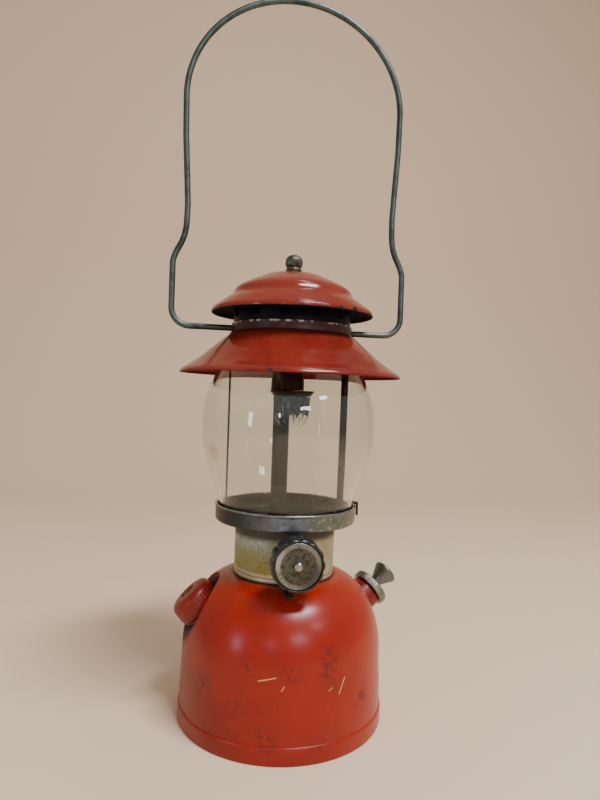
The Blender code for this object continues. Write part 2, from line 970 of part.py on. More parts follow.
def make_nut_washer(metal):
    turned("nut_washer", tube(5.5, 2.9, 295.25, 296.0), metal, MEDIUM)


def make_ball_nut(metal):
    profile = [
        (0.0, 307.5),
        (2.2, 307.2),
        (4.2, 306.2),
        (5.5, 304.4),
        (6.0, 301.8),
        (5.6, 299.6),
        (4.8, 298.4),
        (5.0, 297.6),
        (5.5, 297.2),
        (5.5, 296.3),
        (2.8, 296.3),
        (2.8, 304.5),
        (0.0, 304.5),
    ]
    turned("ball_nut", profile, metal, MEDIUM)


def main():
    paint, enamel, plated, yellow = red_paint(), red_enamel(), nickel(), brass()
    steel, zinc, plastic = dark_steel(), galvanised(), black_plastic()

    filler = tilted_frame("filler_axis", FILLER_AZIMUTH, FILLER_RISE, FILLER_REACH, FILLER_Z)
    pump = tilted_frame("pump_axis", PUMP_AZIMUTH, PUMP_RISE, PUMP_REACH, PUMP_Z)
    knob_axis = frame_empty("knob_axis", (0.0, 0.0, KNOB_Z), (90.0, 0.0, 0.0))
    lever_axis = frame_empty("lever_axis", (LEVER_X, 0.0, LEVER_Z), (90.0, 0.0, 0.0))

    make_fount_shell(paint, filler, pump)
    make_fount_base(paint)

    make_filler_neck(paint, filler)
    make_fuel_cap(paint, filler)
    make_fuel_cap_screw(plated, filler)
    make_fuel_cap_gasket(rubber(), filler)
    make_fuel_cap_insert(yellow, filler)

    make_pump_boss(paint, pump)
    make_pump_barrel(yellow, pump)
    make_pump_cap(plated, pump)
    make_check_valve(yellow, pump)
    make_plunger_rod(plated, pump)
    make_plunger_knob(plated, pump)
    make_air_stem(yellow, pump)
    make_pump_cup(leather(), pump)
    make_cup_washer(plated, pump)
    make_plunger_spring(steel, pump)

    make_valve_body(yellow, knob_axis, lever_axis)
    make_fuel_tube(yellow)
    make_packing_nut(yellow, knob_axis)
    make_valve_stem(yellow, knob_axis)
    make_control_knob(plastic, knob_axis)
    make_knob_dial(plated, knob_axis)
    make_knob_screw(plated, knob_axis)
    make_cleaner_shaft(yellow, lever_axis)
    make_cleaner_lever(steel, lever_axis)
    make_cleaning_rod(yellow)

    make_collar(plated, knob_axis, lever_axis)
    make_burner_plate(plated)
    make_rim_clip(steel)

    make_generator_nut(yellow)
    make_generator(yellow)
    make_generator_jet(yellow)
    make_air_tube(steel)
    make_mixing_elbow(steel)
    make_burner_cap(steel)
    make_burner_screen(steel)
    make_mantle(mantle_ash())

    make_upright("upright_left", -UPRIGHT_X, 0.0, 0.0, steel)
    make_upright("upright_right", UPRIGHT_X - 2.2, 0.6, 50.0, plated)
    make_crown(steel)
    make_top_stud(steel)

    make_globe(clear_glass())
    pivot = make_ventilator_skirt(enamel)
    make_ventilator_dome(enamel)
    make_ventilator_ring(steel, pivot)
    make_ventilator_bridge(steel)
    make_bail(zinc)
    make_nut_washer(zinc)
    make_ball_nut(zinc)


clear_scene()
PARTS = new_collection("camping_lantern")
CUTTERS = new_collection("cutters")
main()
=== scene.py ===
"""The looks of the camping lantern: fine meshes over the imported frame, and their materials.

Profiles are (radius, height) points in millimetres that run down the outer side and back up the
inner side. A third number rounds that corner. Heights count from the lowest point of the node that
the piece stands for, or from the joint whose axis it is turned about.
"""

import json
import random
from functools import reduce
from math import cos, pi, radians, sin

import bmesh
import bpy
from mathutils import Matrix, Vector, noise


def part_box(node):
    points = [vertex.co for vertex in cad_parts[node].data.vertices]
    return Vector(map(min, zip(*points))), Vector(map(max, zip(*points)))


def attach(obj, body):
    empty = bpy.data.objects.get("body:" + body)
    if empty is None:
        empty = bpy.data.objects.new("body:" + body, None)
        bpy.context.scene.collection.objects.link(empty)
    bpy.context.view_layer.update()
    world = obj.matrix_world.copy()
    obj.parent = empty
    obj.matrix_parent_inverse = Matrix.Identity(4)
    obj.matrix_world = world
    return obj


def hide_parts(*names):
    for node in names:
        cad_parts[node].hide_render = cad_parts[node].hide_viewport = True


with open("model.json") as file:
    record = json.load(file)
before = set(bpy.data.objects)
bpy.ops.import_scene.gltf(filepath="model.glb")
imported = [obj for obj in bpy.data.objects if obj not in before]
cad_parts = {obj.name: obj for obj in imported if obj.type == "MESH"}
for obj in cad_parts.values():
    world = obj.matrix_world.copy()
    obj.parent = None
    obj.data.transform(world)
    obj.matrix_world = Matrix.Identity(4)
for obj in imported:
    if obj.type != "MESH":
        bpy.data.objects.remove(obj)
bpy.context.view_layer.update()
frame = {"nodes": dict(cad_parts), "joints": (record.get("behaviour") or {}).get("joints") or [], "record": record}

MM = 0.001
JOINTS = {joint["name"]: joint for joint in frame["joints"]}
ROUND_STEPS = 5
SIDES = 128
FINE_SIDES = 288
SHEET = 0.9
CREASE = radians(40)

# Camera: its place, aim and lens
EYE_REACH = 421
EYE_HEIGHT = 213.7
EYE_AZIMUTH = -98.3
AIM_YAW, AIM_PITCH, AIM_ROLL = 0.985, 0.549, 2.01
LENS = 28

# Lamps: which way each stands from a point this far up the lantern's axis, how far off and how
# large it is (all in metres), its power and its colour
LAMPS_AIM = 0.17
LAMPS = (
    ("key", (0.3, -0.46, 0.86), 1.45, (0.62, 0.2), 24, (0.95, 0.93, 1)),
    ("second", (0.22, -0.92, 0.33), 1.45, (0.32, 0.1), 2.8, (0.93, 0.9, 1)),
    ("overhead", (0.22, 0.12, 1), 2, (0.62, 0.13), 3.6, (0.9, 0.88, 1)),
    ("window_left", (-0.84, -0.54, 0.1), 1.2, (0.09, 0.28), 1.1, (0.7, 0.8, 1)),
    ("window_middle", (-0.33, -0.92, 0.2), 1.25, (0.06, 0.08), 0.45, (0.62, 0.74, 1)),
    ("lamp_right", (0.56, -0.66, 0.5), 1.1, (0.17, 0.07), 0.9, (1, 0.97, 0.92)),
)

# Driving sizes that the frame doesn't give
CAP_RECESS_R = 22
CAP_RECESS_FLOOR = -2.3
CAP_RECESS_LIP = (2.2, 1)
PUMP_HOLE_R = 4.8
SPINDLE_HOLE_R = 7.2
LEVER_HOLE_R = 2.2
TUBE_HOLE_R = 4.2
BAIL_HOLE_R = 2.35
KNOB_LOBES = 14
KNOB_RIM_R = 14.9
DIAL_TICKS = 11
ELBOW_R, ELBOW_BORE_R = 7.8, 6.4
RING_WINDOWS = 12
WIRE_R = 2
MANTLE_R, MANTLE_MEAN_R = 12.2, 12
TORN_EDGE = 7.4
THREADS = 26

# Marks on the fount, from its lowest point: stains (place, reach, grain, seed), then strokes from
# one end to the other with their width
# The middle of the painted shade in the filler's recess
FILLER_ON_FOUNT = (-52, 0, 67)
STAINS = (
    ((20.5, -60.8, 59.5), 9, 2.4, 4),
    ((18.6, -62.8, 51.4), 12, 2.8, 7.5),
    ((-2.6, -65.4, 51.6), 9, 2.4, 1),
    ((-26.5, -59.5, 54.2), 9, 2.2, 2),
    ((-34.6, -56.7, 27.5), 9, 2.4, 9),
    ((-53.3, -39.1, 36.1), 14, 3, 3),
    ((-17.1, -64.6, 13.1), 12, 3.2, 6),
    ((42.9, -50.8, 28.3), 12, 3, 7),
)
CHIPS = (
    ((1.9, -57.3, 76.5), (2.7, -57.4, 76.2), 1.7),
    ((-0.3, -63.8, 60.5), (0.3, -63.6, 61.6), 1.4),
    ((-6.2, -66.6, 9), (-5.4, -66.7, 9.4), 1),
)
SCRATCHES = (
    ((-21.4, -62.4, 46.4), (-11.6, -64.9, 48.8), 0.62),
    ((-8.2, -65.4, 41.4), (-6.6, -65.6, 43.9), 0.45),
    ((30.6, -58.4, 44.8), (27, -60.1, 36), 0.62),
    ((20.4, -62.7, 39.2), (22.6, -61.9, 40.6), 0.42),
)


# Places


def seat(node):
    """The middle of a node's footprint, at its lowest height."""
    low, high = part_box(node)
    return Matrix.Translation(((low.x + high.x) / 2, (low.y + high.y) / 2, low.z))


def middle_of(node):
    """The middle of a node seen from above, in millimetres."""
    return seat(node).translation.xy / MM


def on_joint(name):
    """A joint's own frame, with Z along its axis."""
    joint = JOINTS[name]
    turn = Vector(joint["axis"]).to_track_quat("Z", "Y")
    return Matrix.Translation(joint["pos_m"]) @ turn.to_matrix().to_4x4()


def height_of(node):
    low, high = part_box(node)
    return (high.z - low.z) / MM


# Profiles


def rounded(profile):
    """The profile with each corner that has a third number turned into a small curve."""
    line = []
    for index, corner in enumerate(profile):
        here = Vector(corner[:2])
        size = corner[2] if len(corner) > 2 else 0
        if size == 0:
            line.append(here)
            continue
        before = Vector(profile[index - 1][:2]) - here
        after = Vector(profile[(index + 1) % len(profile)][:2]) - here
        start = here + before.normalized() * min(size, 0.48 * before.length)
        end = here + after.normalized() * min(size, 0.48 * after.length)
        for step in range(ROUND_STEPS + 1):
            t = step / ROUND_STEPS
            line.append(start * (1 - t) ** 2 + here * 2 * t * (1 - t) + end * t * t)
    return [tuple(point) for point in line]


def polar(reach, angle):
    return reach * cos(angle), reach * sin(angle)


def arc(centre, radii, start, end, count):
    """Points round part of an ellipse, between two angles in degrees."""
    points = []
    for step in range(count + 1):
        angle = radians(start + (end - start) * step / count)
        points.append((centre[0] + radii[0] * cos(angle), centre[1] + radii[1] * sin(angle)))
    return points


def flowing(points, steps=6):
    """A smooth line through the points."""
    line = []
    for index in range(len(points) - 1):
        a = Vector(points[max(index - 1, 0)])
        b, c = Vector(points[index]), Vector(points[index + 1])
        d = Vector(points[min(index + 2, len(points) - 1)])
        for step in range(steps):
            t = step / steps
            bent = 2 * b + (c - a) * t + (2 * a - 5 * b + 4 * c - d) * t**2 + (3 * b - a - 3 * c + d) * t**3
            line.append(tuple(0.5 * bent))
    return line + [tuple(points[-1])]


def walled(points, thickness):
    """The outer line closed by the line that lies one thickness inside it."""
    inner = []
    for index, point in enumerate(points):
        before = Vector(points[max(index - 1, 0)])
        after = Vector(points[min(index + 1, len(points) - 1)])
        along = (after - before).normalized()
        inner.append((point[0] + along.y * thickness, point[1] - along.x * thickness))
    return list(points) + inner[::-1]


# Meshes


def linked(name, data):
    """A new object in the scene that holds the data."""
    made = bpy.data.objects.new(name, data)
    bpy.context.scene.collection.objects.link(made)
    return made


def mesh_of(shape, name):
    """The mesh of a finished bmesh."""
    mesh = bpy.data.meshes.new(name)
    shape.to_mesh(mesh)
    shape.free()
    return mesh


def evaluated_mesh(holder):
    """What an object's modifiers or its curve come to."""
    bpy.context.view_layer.update()
    seen = holder.evaluated_get(bpy.context.evaluated_depsgraph_get())
    return bpy.data.meshes.new_from_object(seen)


def finished(name, mesh, skin, node, place, body=None):
    """The object for a mesh: placed, shaded, riding on its body and standing for its node."""
    piece = linked(name, mesh)
    piece.matrix_world = place
    mesh.materials.clear()
    mesh.materials.append(skin)
    mesh.shade_smooth()
    mesh.set_sharp_from_angle(angle=CREASE)
    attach(piece, body or BODY_OF[node])
    if node:
        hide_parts(node)
    return piece


def turned_mesh(name, profile, sides=SIDES, shift=None):
    """A solid of revolution; shift(radius, height, angle) may change a point's radius."""
    points = rounded(profile)
    on_axis = points[0][0] < 1e-6 and points[-1][0] < 1e-6
    shape = bmesh.new()
    rings = []
    for radius, height in points:
        if radius < 1e-6:
            rings.append([shape.verts.new((0, 0, height * MM))])
            continue
        ring = []
        for side in range(sides):
            angle = 2 * pi * side / sides
            reach = (shift(radius, height, angle) if shift else radius) * MM
            ring.append(shape.verts.new((*polar(reach, angle), height * MM)))
        rings.append(ring)
    pairs = list(zip(rings, rings[1:])) + ([] if on_axis else [(rings[-1], rings[0])])
    for upper, lower in pairs:
        for side in range(sides):
            after = (side + 1) % sides
            corners = [upper[side % len(upper)], lower[side % len(lower)]]
            corners += [lower[after % len(lower)], upper[after % len(upper)]]
            corners = list(dict.fromkeys(corners))
            if len(corners) > 2:
                shape.faces.new(corners)
    return mesh_of(shape, name)


def lathe(name, profile, skin, node, place=None, sides=SIDES, shift=None):
    """A turned piece that stands for a node, on the node's own seat unless a place is given."""
    mesh = turned_mesh(name, profile, sides, shift)
    return finished(name, mesh, skin, node, seat(node) if place is None else place)


def dented(amount, scale=22, seed=0):
    """A shift for turned_mesh: the slight waviness of pressed sheet."""

    def shift(radius, height, angle):
        place = Vector((*polar(radius, angle), height)) * MM
        return radius + amount * noise.noise(place * scale + Vector((seed, seed, seed)))

    return shift


def fluted(count, depth, low, high, at_radius):
    """A shift for turned_mesh: flutes round the rim between two heights."""

    def shift(radius, height, angle):
        if radius < at_radius or not low <= height <= high:
            return radius
        return radius - depth * (0.5 - 0.5 * cos(count * angle))

    return shift


def cut(piece, tool_mesh, place):
    """Cuts a mesh out of a piece and applies the cut."""
    tool = linked("tool", tool_mesh)
    tool.matrix_world = place
    modifier = piece.modifiers.new("cut", "BOOLEAN")
    modifier.operation = "DIFFERENCE"
    modifier.solver = "EXACT"
    modifier.object = tool
    mesh = evaluated_mesh(piece)
    piece.modifiers.clear()
    piece.data = mesh
    bpy.data.objects.remove(tool, do_unlink=True)
    mesh.set_sharp_from_angle(angle=CREASE)


def rod_mesh(radius, low, high, sides=48):
    return turned_mesh("rod", [(0, high), (radius, high), (radius, low), (0, low)], sides)


def block_mesh(low, high):
    shape = bmesh.new()
    bmesh.ops.create_cube(shape, size=1)
    for vertex in shape.verts:
        for axis in range(3):
            share = vertex.co[axis] + 0.5
            vertex.co[axis] = (low[axis] + share * (high[axis] - low[axis])) * MM
    return mesh_of(shape, "block")


def softened(node, skin, radius=0.3):
    """A copy of a node with its sharp edges rounded, to stand for the node."""
    shape = bmesh.new()
    shape.from_mesh(frame["nodes"][node].data)
    bmesh.ops.remove_doubles(shape, verts=shape.verts, dist=1e-6)
    bmesh.ops.dissolve_limit(shape, angle_limit=radians(1), verts=shape.verts, edges=shape.edges)
    holder = linked("sharp", mesh_of(shape, "sharp"))
    bevel = holder.modifiers.new("soft", "BEVEL")
    bevel.width = radius * MM
    bevel.segments = 3
    bevel.limit_method = "ANGLE"
    bevel.angle_limit = radians(30)
    bevel.use_clamp_overlap = True
    mesh = evaluated_mesh(holder)
    bpy.data.objects.remove(holder, do_unlink=True)
    finished(node + "_look", mesh, skin, node, Matrix())


def swept_mesh(name, points, radius, swell=None, sides=10):
    """A round bar along a line of points in millimetres."""
    curve = bpy.data.curves.new(name, "CURVE")
    curve.dimensions = "3D"
    curve.bevel_depth = radius * MM
    curve.bevel_resolution = sides
    curve.use_fill_caps = True
    spline = curve.splines.new("POLY")
    spline.points.add(len(points) - 1)
    for index, (point, where) in enumerate(zip(spline.points, points)):
        point.co = (where[0] * MM, where[1] * MM, where[2] * MM, 1)
        point.radius = swell[index] if swell else 1
    holder = linked(name, curve)
    shape = bmesh.new()
    shape.from_mesh(evaluated_mesh(holder))
    bpy.data.objects.remove(holder, do_unlink=True)
    bmesh.ops.remove_doubles(shape, verts=shape.verts, dist=1e-5)
    bmesh.ops.recalc_face_normals(shape, faces=shape.faces)
    return mesh_of(shape, name)


# Materials


class Surface:
    """A Principled material built in layers, each seen through a mask."""

    def __init__(self, name, colour, roughness, metallic=0):
        self.material = bpy.data.materials.new(name)
        self.material.use_nodes = True
        self.material.diffuse_color = (*colour, 1)
        self.tree = self.material.node_tree
        self.shader = self.tree.nodes["Principled BSDF"]
        self.point = self.node("ShaderNodeTexCoord").outputs["Object"]
        self.now = {"Base Color": (*colour, 1), "Roughness": roughness, "Metallic": metallic}
        self.normal = None

    def node(self, kind, inputs=None, **settings):
        """A new node; inputs gives its sockets values or the outputs of other nodes."""
        made = self.tree.nodes.new(kind)
        for key, value in settings.items():
            setattr(made, key, value)
        for key, value in (inputs or {}).items():
            self.give(made.inputs[key], value)
        return made

    def give(self, socket, value):
        if isinstance(value, bpy.types.NodeSocket):
            self.tree.links.new(value, socket)
        else:
            socket.default_value = value

    def maths(self, operation, a, b, clamp=False):
        made = self.node("ShaderNodeMath", {0: a, 1: b}, operation=operation, use_clamp=clamp)
        return made.outputs[0]

    def vector(self, operation, a, b=(0, 0, 0)):
        made = self.node("ShaderNodeVectorMath", {0: a, 1: b}, operation=operation)
        return made.outputs["Value" if operation in ("LENGTH", "DISTANCE", "DOT_PRODUCT") else "Vector"]

    def step(self, value, low, high):
        """0 below low, 1 above high and smooth between; low may be the larger."""
        sockets = {"Value": value, "From Min": low, "From Max": high}
        return self.node("ShaderNodeMapRange", sockets, interpolation_type="SMOOTHSTEP").outputs["Result"]

    def noise(self, size, detail=4, rough=0.55, stretch=(1, 1, 1), seed=0):
        """Noise whose features are about size millimetres across."""
        offset = (seed, seed * 0.7, seed * 1.3)
        sockets = {"Vector": self.point, "Location": offset, "Scale": stretch}
        moved = self.node("ShaderNodeMapping", sockets).outputs[0]
        sockets = {"Vector": moved, "Scale": 1 / (size * MM), "Detail": detail, "Roughness": rough}
        return self.node("ShaderNodeTexNoise", sockets).outputs["Fac"]

    def patches(self, size, low, high, **settings):
        return self.step(self.noise(size, **settings), low, high)

    def axis(self, letter, vector=None):
        return self.node("ShaderNodeSeparateXYZ", {0: vector or self.point}).outputs[letter]

    def across(self, low, high):
        """0 below low and 1 above high, in millimetres along X."""
        return self.step(self.axis("X"), low * MM, high * MM)

    def height(self, low, high):
        """0 below low and 1 above high, in millimetres up the piece's own axis."""
        return self.step(self.axis("Z"), low * MM, high * MM)

    def wavering(self, size, amount, seed):
        """The height, up to an amount in millimetres too high."""
        return self.maths("ADD", self.axis("Z"), self.times(self.noise(size, seed=seed), amount * MM))

    def radius(self, low, high):
        flat = self.vector("MULTIPLY", self.point, (1, 1, 0))
        return self.step(self.vector("LENGTH", flat), low * MM, high * MM)

    def near(self, place, full, none):
        """1 within full millimetres of a place, 0 beyond none."""
        centre = tuple(value * MM for value in place)
        return self.step(self.vector("DISTANCE", self.point, centre), none * MM, full * MM)

    def stroke(self, start, end, width, ragged=0.5):
        """1 along a short scratch between two places on the surface."""
        a, b = Vector(start) * MM, Vector(end) * MM
        along = b - a
        offset = self.vector("SUBTRACT", self.point, tuple(a))
        share = self.maths(
            "DIVIDE", self.vector("DOT_PRODUCT", offset, tuple(along)), along.length_squared, clamp=True
        )
        scaled = self.node("ShaderNodeVectorMath", {0: tuple(along), "Scale": share}, operation="SCALE")
        gap = self.vector("DISTANCE", offset, scaled.outputs["Vector"])
        rough = self.times(self.noise(1.6, seed=start[0]), ragged * width * MM)
        return self.step(self.maths("ADD", gap, rough), width * 1.1 * MM, width * 0.8 * MM)

    def times(self, *masks):
        return reduce(lambda a, b: self.maths("MULTIPLY", a, b), masks)

    def either(self, *masks):
        return reduce(lambda a, b: self.maths("MAXIMUM", a, b), masks)

    def layer(self, mask, colour=None, roughness=None, metallic=None, strength=1):
        """Lays a colour, roughness or metallic value over what is there, where the mask is 1."""
        if strength != 1:
            mask = self.times(mask, strength)
        if colour is not None:
            sockets = {0: mask, 6: self.now["Base Color"], 7: (*colour, 1)}
            self.now["Base Color"] = self.node("ShaderNodeMix", sockets, data_type="RGBA").outputs[2]
        for key, value in (("Roughness", roughness), ("Metallic", metallic)):
            if value is not None:
                sockets = {0: mask, 2: self.now[key], 3: value}
                self.now[key] = self.node("ShaderNodeMix", sockets, data_type="FLOAT").outputs[0]
        return self

    def mottle(self, size, low, high, *look, strength=1, detail=6, **settings):
        """A layer in patches about size millimetres across; look is what layer() takes."""
        mask = self.patches(size, low, high, detail=detail, **settings)
        return self.layer(mask, *look, strength=strength)

    def bump(self, height, depth, strength=1):
        """Relief from a 0 to 1 height, depth millimetres deep."""
        sockets = {"Strength": strength, "Distance": depth * MM, "Height": height}
        if self.normal:
            sockets["Normal"] = self.normal
        self.normal = self.node("ShaderNodeBump", sockets).outputs["Normal"]
        return self

    def scratched(self, depth=0.02, seed=0):
        """Fine hairlines in the relief."""
        return self.bump(self.noise(0.9, 6, 0.6, (1, 1, 0.08), seed), depth, 0.5)

    def plain(self, **values):
        """Sets the shader's own sockets."""
        for key, value in values.items():
            self.shader.inputs[key.replace("_", " ")].default_value = value
        return self

    def done(self):
        if self.normal:
            self.now["Normal"] = self.normal
        for key, value in self.now.items():
            self.give(self.shader.inputs[key], value)
        return self.material


def fount_paint():
    """Old satin red, darker where it is stained, chipped to the primer here and there, with painted light on its
    shoulder and right side, painted shade in the filler's recess, and grime with painted shade round the collar's
    foot.
    """
    skin = Surface("fount_red", (0.275, 0.0095, 0.0018), 0.27)
    skin.mottle(60, 0.42, 0.62, (0.215, 0.007, 0.0018), 0.31, seed=3, detail=4)
    skin.mottle(20, 0.48, 0.78, (0.17, 0.0065, 0.002), 0.34, strength=0.4, detail=4, seed=7)
    # Painted light: a lighter red towards the top of the shoulder and on the right side.
    skin.layer(skin.height(70, 92), (0.33, 0.0135, 0.0022), 0.27, strength=0.6)
    skin.layer(skin.across(8, 62), (0.36, 0.02, 0.003), 0.28, strength=0.6)
    dust = skin.times(skin.patches(9, 0.5, 0.75, detail=8, seed=1.5), skin.height(30, 4))
    skin.layer(dust, (0.2, 0.045, 0.03), 0.5, strength=0.35)
    for place, reach, size, seed in STAINS:
        grain = skin.patches(size, 0.44, 0.62, detail=8, seed=seed)
        stain = skin.times(skin.near(place, 1, reach), grain)
        skin.layer(stain, (0.04, 0.006, 0.007), 0.4, strength=0.62)
    sparse = skin.patches(14, 0.5, 0.6, seed=6)
    specks = skin.times(skin.patches(1.6, 0.7, 0.74, detail=2, seed=5), sparse)
    skin.layer(specks, (0.035, 0.006, 0.008), 0.5)
    ragged = skin.patches(0.9, 0.4, 0.52, detail=3, seed=12)
    chip = skin.times(skin.either(*(skin.stroke(*mark, 1.9) for mark in CHIPS)), ragged)
    skin.layer(chip, (0.018, 0.004, 0.006), 0.45)
    bare = skin.either(*(skin.stroke(*mark, 0.6) for mark in SCRATCHES))
    skin.layer(bare, (0.5, 0.31, 0.13), 0.55)
    # Grime and painted shade: the crease round the collar's foot darkened.
    joint = skin.times(skin.radius(36.5, 33.6), skin.patches(7, 0.25, 0.6, seed=8))
    skin.layer(joint, (0.05, 0.006, 0.005), 0.5, strength=0.8)
    # Painted shade: the filler's recess darkened to near black round the cap.
    recess_shade = skin.near(FILLER_ON_FOUNT, 20, 27)
    skin.layer(recess_shade, (0.014, 0.0025, 0.0028), 0.7, strength=0.92)
    skin.bump(skin.noise(2.2, 3), 0.05, 0.3)
    skin.bump(skin.noise(30, 2, seed=2), 0.5, 0.25)
    skin.bump(skin.either(chip, bare), -0.08, 1)
    return skin.plain(Specular_IOR_Level=0.4).done()


def part_paint(name, dark=False):
    """The same red on the smaller parts, rubbed and dirtier."""
    skin = Surface(name, (0.2, 0.008, 0.0022) if not dark else (0.1, 0.005, 0.002), 0.31)
    skin.mottle(9, 0.42, 0.66, (0.13, 0.006, 0.003), 0.4, strength=0.7, seed=3)
    skin.mottle(2.4, 0.62, 0.7, (0.05, 0.008, 0.008), 0.5, detail=5, seed=6)
    skin.bump(skin.noise(1.8, 3), 0.05, 0.4)
    return skin.plain(Specular_IOR_Level=0.38).done()


def enamel(name, chips, seed, under, under_rough):
    """Gloss red enamel, chipped to dark steel along its rim, with another colour underneath."""
    skin = Surface(name, (0.195, 0.021, 0.0115), 0.15)
    skin.mottle(45, 0.4, 0.62, (0.15, 0.0145, 0.0085), 0.17, seed=seed, detail=4)
    skin.mottle(12, 0.55, 0.72, (0.13, 0.009, 0.005), 0.24, strength=0.5, seed=seed + 2)
    skin.mottle(3, 0.58, 0.74, (0.22, 0.04, 0.022), 0.26, strength=0.3, seed=seed + 6)
    rim = skin.height(5, 0.2)
    worn = skin.maths("ADD", skin.times(rim, 0.1), skin.noise(6.5, 5, 0.6, seed=seed + 4))
    skin.layer(skin.times(rim, skin.step(worn, chips - 0.06, chips + 0.02)), (0.05, 0.009, 0.008), 0.26)
    chip = skin.times(skin.step(worn, chips, chips + 0.02), skin.height(6.5, 4.5))
    skin.layer(chip, (0.007, 0.006, 0.009), 0.3)
    skin.bump(chip, -0.12, 0.8)
    skin.bump(skin.noise(3, 2, seed=seed), 0.04, 0.25)
    skin.bump(skin.noise(14, 2, seed=seed + 1), 0.35, 0.2)
    normal = skin.node("ShaderNodeNewGeometry").outputs["Normal"]
    way = {"vector_type": "NORMAL", "convert_from": "WORLD", "convert_to": "OBJECT"}
    local = skin.node("ShaderNodeVectorTransform", {0: normal}, **way)
    below = skin.step(skin.axis("Z", local.outputs[0]), -0.12, -0.35)
    return skin.layer(below, under, under_rough).plain(Specular_IOR_Level=0.34)


def skirt_enamel():
    """The hood's neck is burnt dark, with bare bright steel along its top edge."""
    skin = enamel("skirt_enamel", 0.74, 23, (0.16, 0.006, 0.002), 0.85)
    burnt = skin.times(skin.height(24.5, 28.5), skin.patches(16, 0.1, 0.42, detail=5, seed=4))
    skin.layer(burnt, (0.036, 0.006, 0.0052), 0.4)
    lip = skin.times(skin.height(32.4, 33.4), skin.patches(5, 0.46, 0.58, detail=4, seed=6))
    skin.layer(lip, (0.42, 0.38, 0.38), 0.22, 0.9)
    return skin.done()


def nickel(name="nickel", colour=(0.36, 0.37, 0.33), rough=0.24, seed=0):
    """Plating gone dull, with brown tarnish in patches."""
    skin = Surface(name, colour, rough, 1)
    skin.mottle(7, 0.4, 0.68, (0.2, 0.185, 0.125), 0.4, strength=0.7, seed=seed)
    skin.mottle(2, 0.6, 0.72, (0.075, 0.062, 0.042), 0.52, 0.6, seed=seed + 3)
    return skin.scratched(0.02, seed).done()


def collar_metal():
    """Bare silver at the right, and a worn yellow-green plate at the left with no print on it, with a painted
    shadow at the top under the pan.
    """
    skin = Surface("collar_metal", (0.42, 0.405, 0.27), 0.36, 0.6)
    skin.mottle(16, 0.4, 0.68, (0.36, 0.32, 0.18), 0.42, strength=0.6, detail=5, seed=2)
    side = skin.vector("DOT_PRODUCT", skin.point, (-0.94, -0.342, 0))
    plate = skin.times(skin.step(side, 7 * MM, 10 * MM), skin.height(4.6, 6.4), skin.height(30, 28.4))
    skin.layer(plate, (0.27, 0.255, 0.11), 0.5, 0.2, strength=0.9)
    yellow = skin.times(plate, skin.height(21, 8), skin.patches(11, 0.34, 0.62, seed=5))
    skin.layer(yellow, (0.27, 0.225, 0.022), 0.52, 0.1, strength=0.85)
    pale = skin.times(plate, skin.height(16, 25), skin.patches(11, 0.3, 0.6, seed=8))
    skin.layer(pale, (0.36, 0.43, 0.4), 0.48, 0.15, strength=0.85)
    worn = skin.times(plate, skin.patches(1, 0.46, 0.66, detail=1, stretch=(1, 1, 0.8), seed=1))
    skin.layer(worn, (0.065, 0.07, 0.035), 0.6, 0.2, strength=0.42)
    skin.layer(skin.height(1.6, 0.3), (0.05, 0.04, 0.02), 0.55, 0.4, strength=0.7)
    # Painted shadow: the top of the collar darkened under the burner pan.
    skin.layer(skin.height(24.5, 29), (0.016, 0.013, 0.009), 0.6, 0.2, strength=0.88)
    skin.mottle(1.5, 0.67, 0.73, (0.1, 0.055, 0.02), 0.7, 0.3, detail=5, seed=6)
    return skin.scratched(0.02, 2).done()


def pan_metal():
    """Dark plated steel, blue-grey in front and greener at the right, with a rubbed rim; painted light and glints
    make the right side lighter and painted shade darkens the left.
    """
    skin = Surface("pan_metal", (0.095, 0.112, 0.118), 0.3, 0.85)
    # A greener tint at the right, made lighter as painted light; the next layer is painted shade darkening the
    # left side.
    skin.layer(skin.across(4, 26), (0.155, 0.18, 0.145), 0.34, strength=0.8)
    skin.layer(skin.across(-18, -38), (0.03, 0.029, 0.03), 0.4, strength=0.85)
    skin.mottle(9, 0.48, 0.72, (0.045, 0.053, 0.055), 0.4, strength=0.7, seed=1)
    blue = skin.times(skin.near((-6, -47, 6), 3, 18), skin.patches(8, 0.35, 0.6, seed=7))
    skin.layer(blue, (0.17, 0.23, 0.32), 0.26, strength=0.7)
    # Light flaky scale with painted glints, on the right side only.
    scale = skin.times(skin.patches(3, 0.54, 0.66, detail=6, seed=9), skin.across(-4, 18))
    skin.layer(scale, (0.36, 0.37, 0.34), 0.32, 0.9, strength=0.6)
    damp = skin.patches(16, 0.44, 0.6, seed=9)
    rust = skin.times(skin.patches(1.8, 0.62, 0.7, detail=6, seed=3), damp)
    skin.layer(rust, (0.1, 0.055, 0.03), 0.7, 0.2, strength=0.7)
    rubbed = skin.times(skin.height(11.2, 12.1), skin.patches(9, 0.2, 0.6, detail=5, seed=4))
    skin.layer(rubbed, (0.38, 0.41, 0.4), 0.24, 1, strength=0.8)
    skin.bump(rust, 0.06, 0.8)
    return skin.scratched(0.03, 5).done()


def dark_steel(name="dark_steel", colour=(0.016, 0.015, 0.014), seed=0, wear=1, gloss=0.5):
    """Steel blackened by heat, with a little brown scale."""
    skin = Surface(name, colour, 0.46, 0.4)
    skin.mottle(8, 0.45, 0.65, (0.026, 0.019, 0.014), 0.62, 0.3, strength=wear, seed=seed)
    skin.mottle(3, 0.58, 0.7, (0.045, 0.042, 0.038), 0.4, 0.8, strength=wear, seed=seed + 4)
    skin.bump(skin.noise(0.8, 6, 0.7, seed=seed), 0.05, 0.5)
    return skin.plain(Specular_IOR_Level=gloss).done()


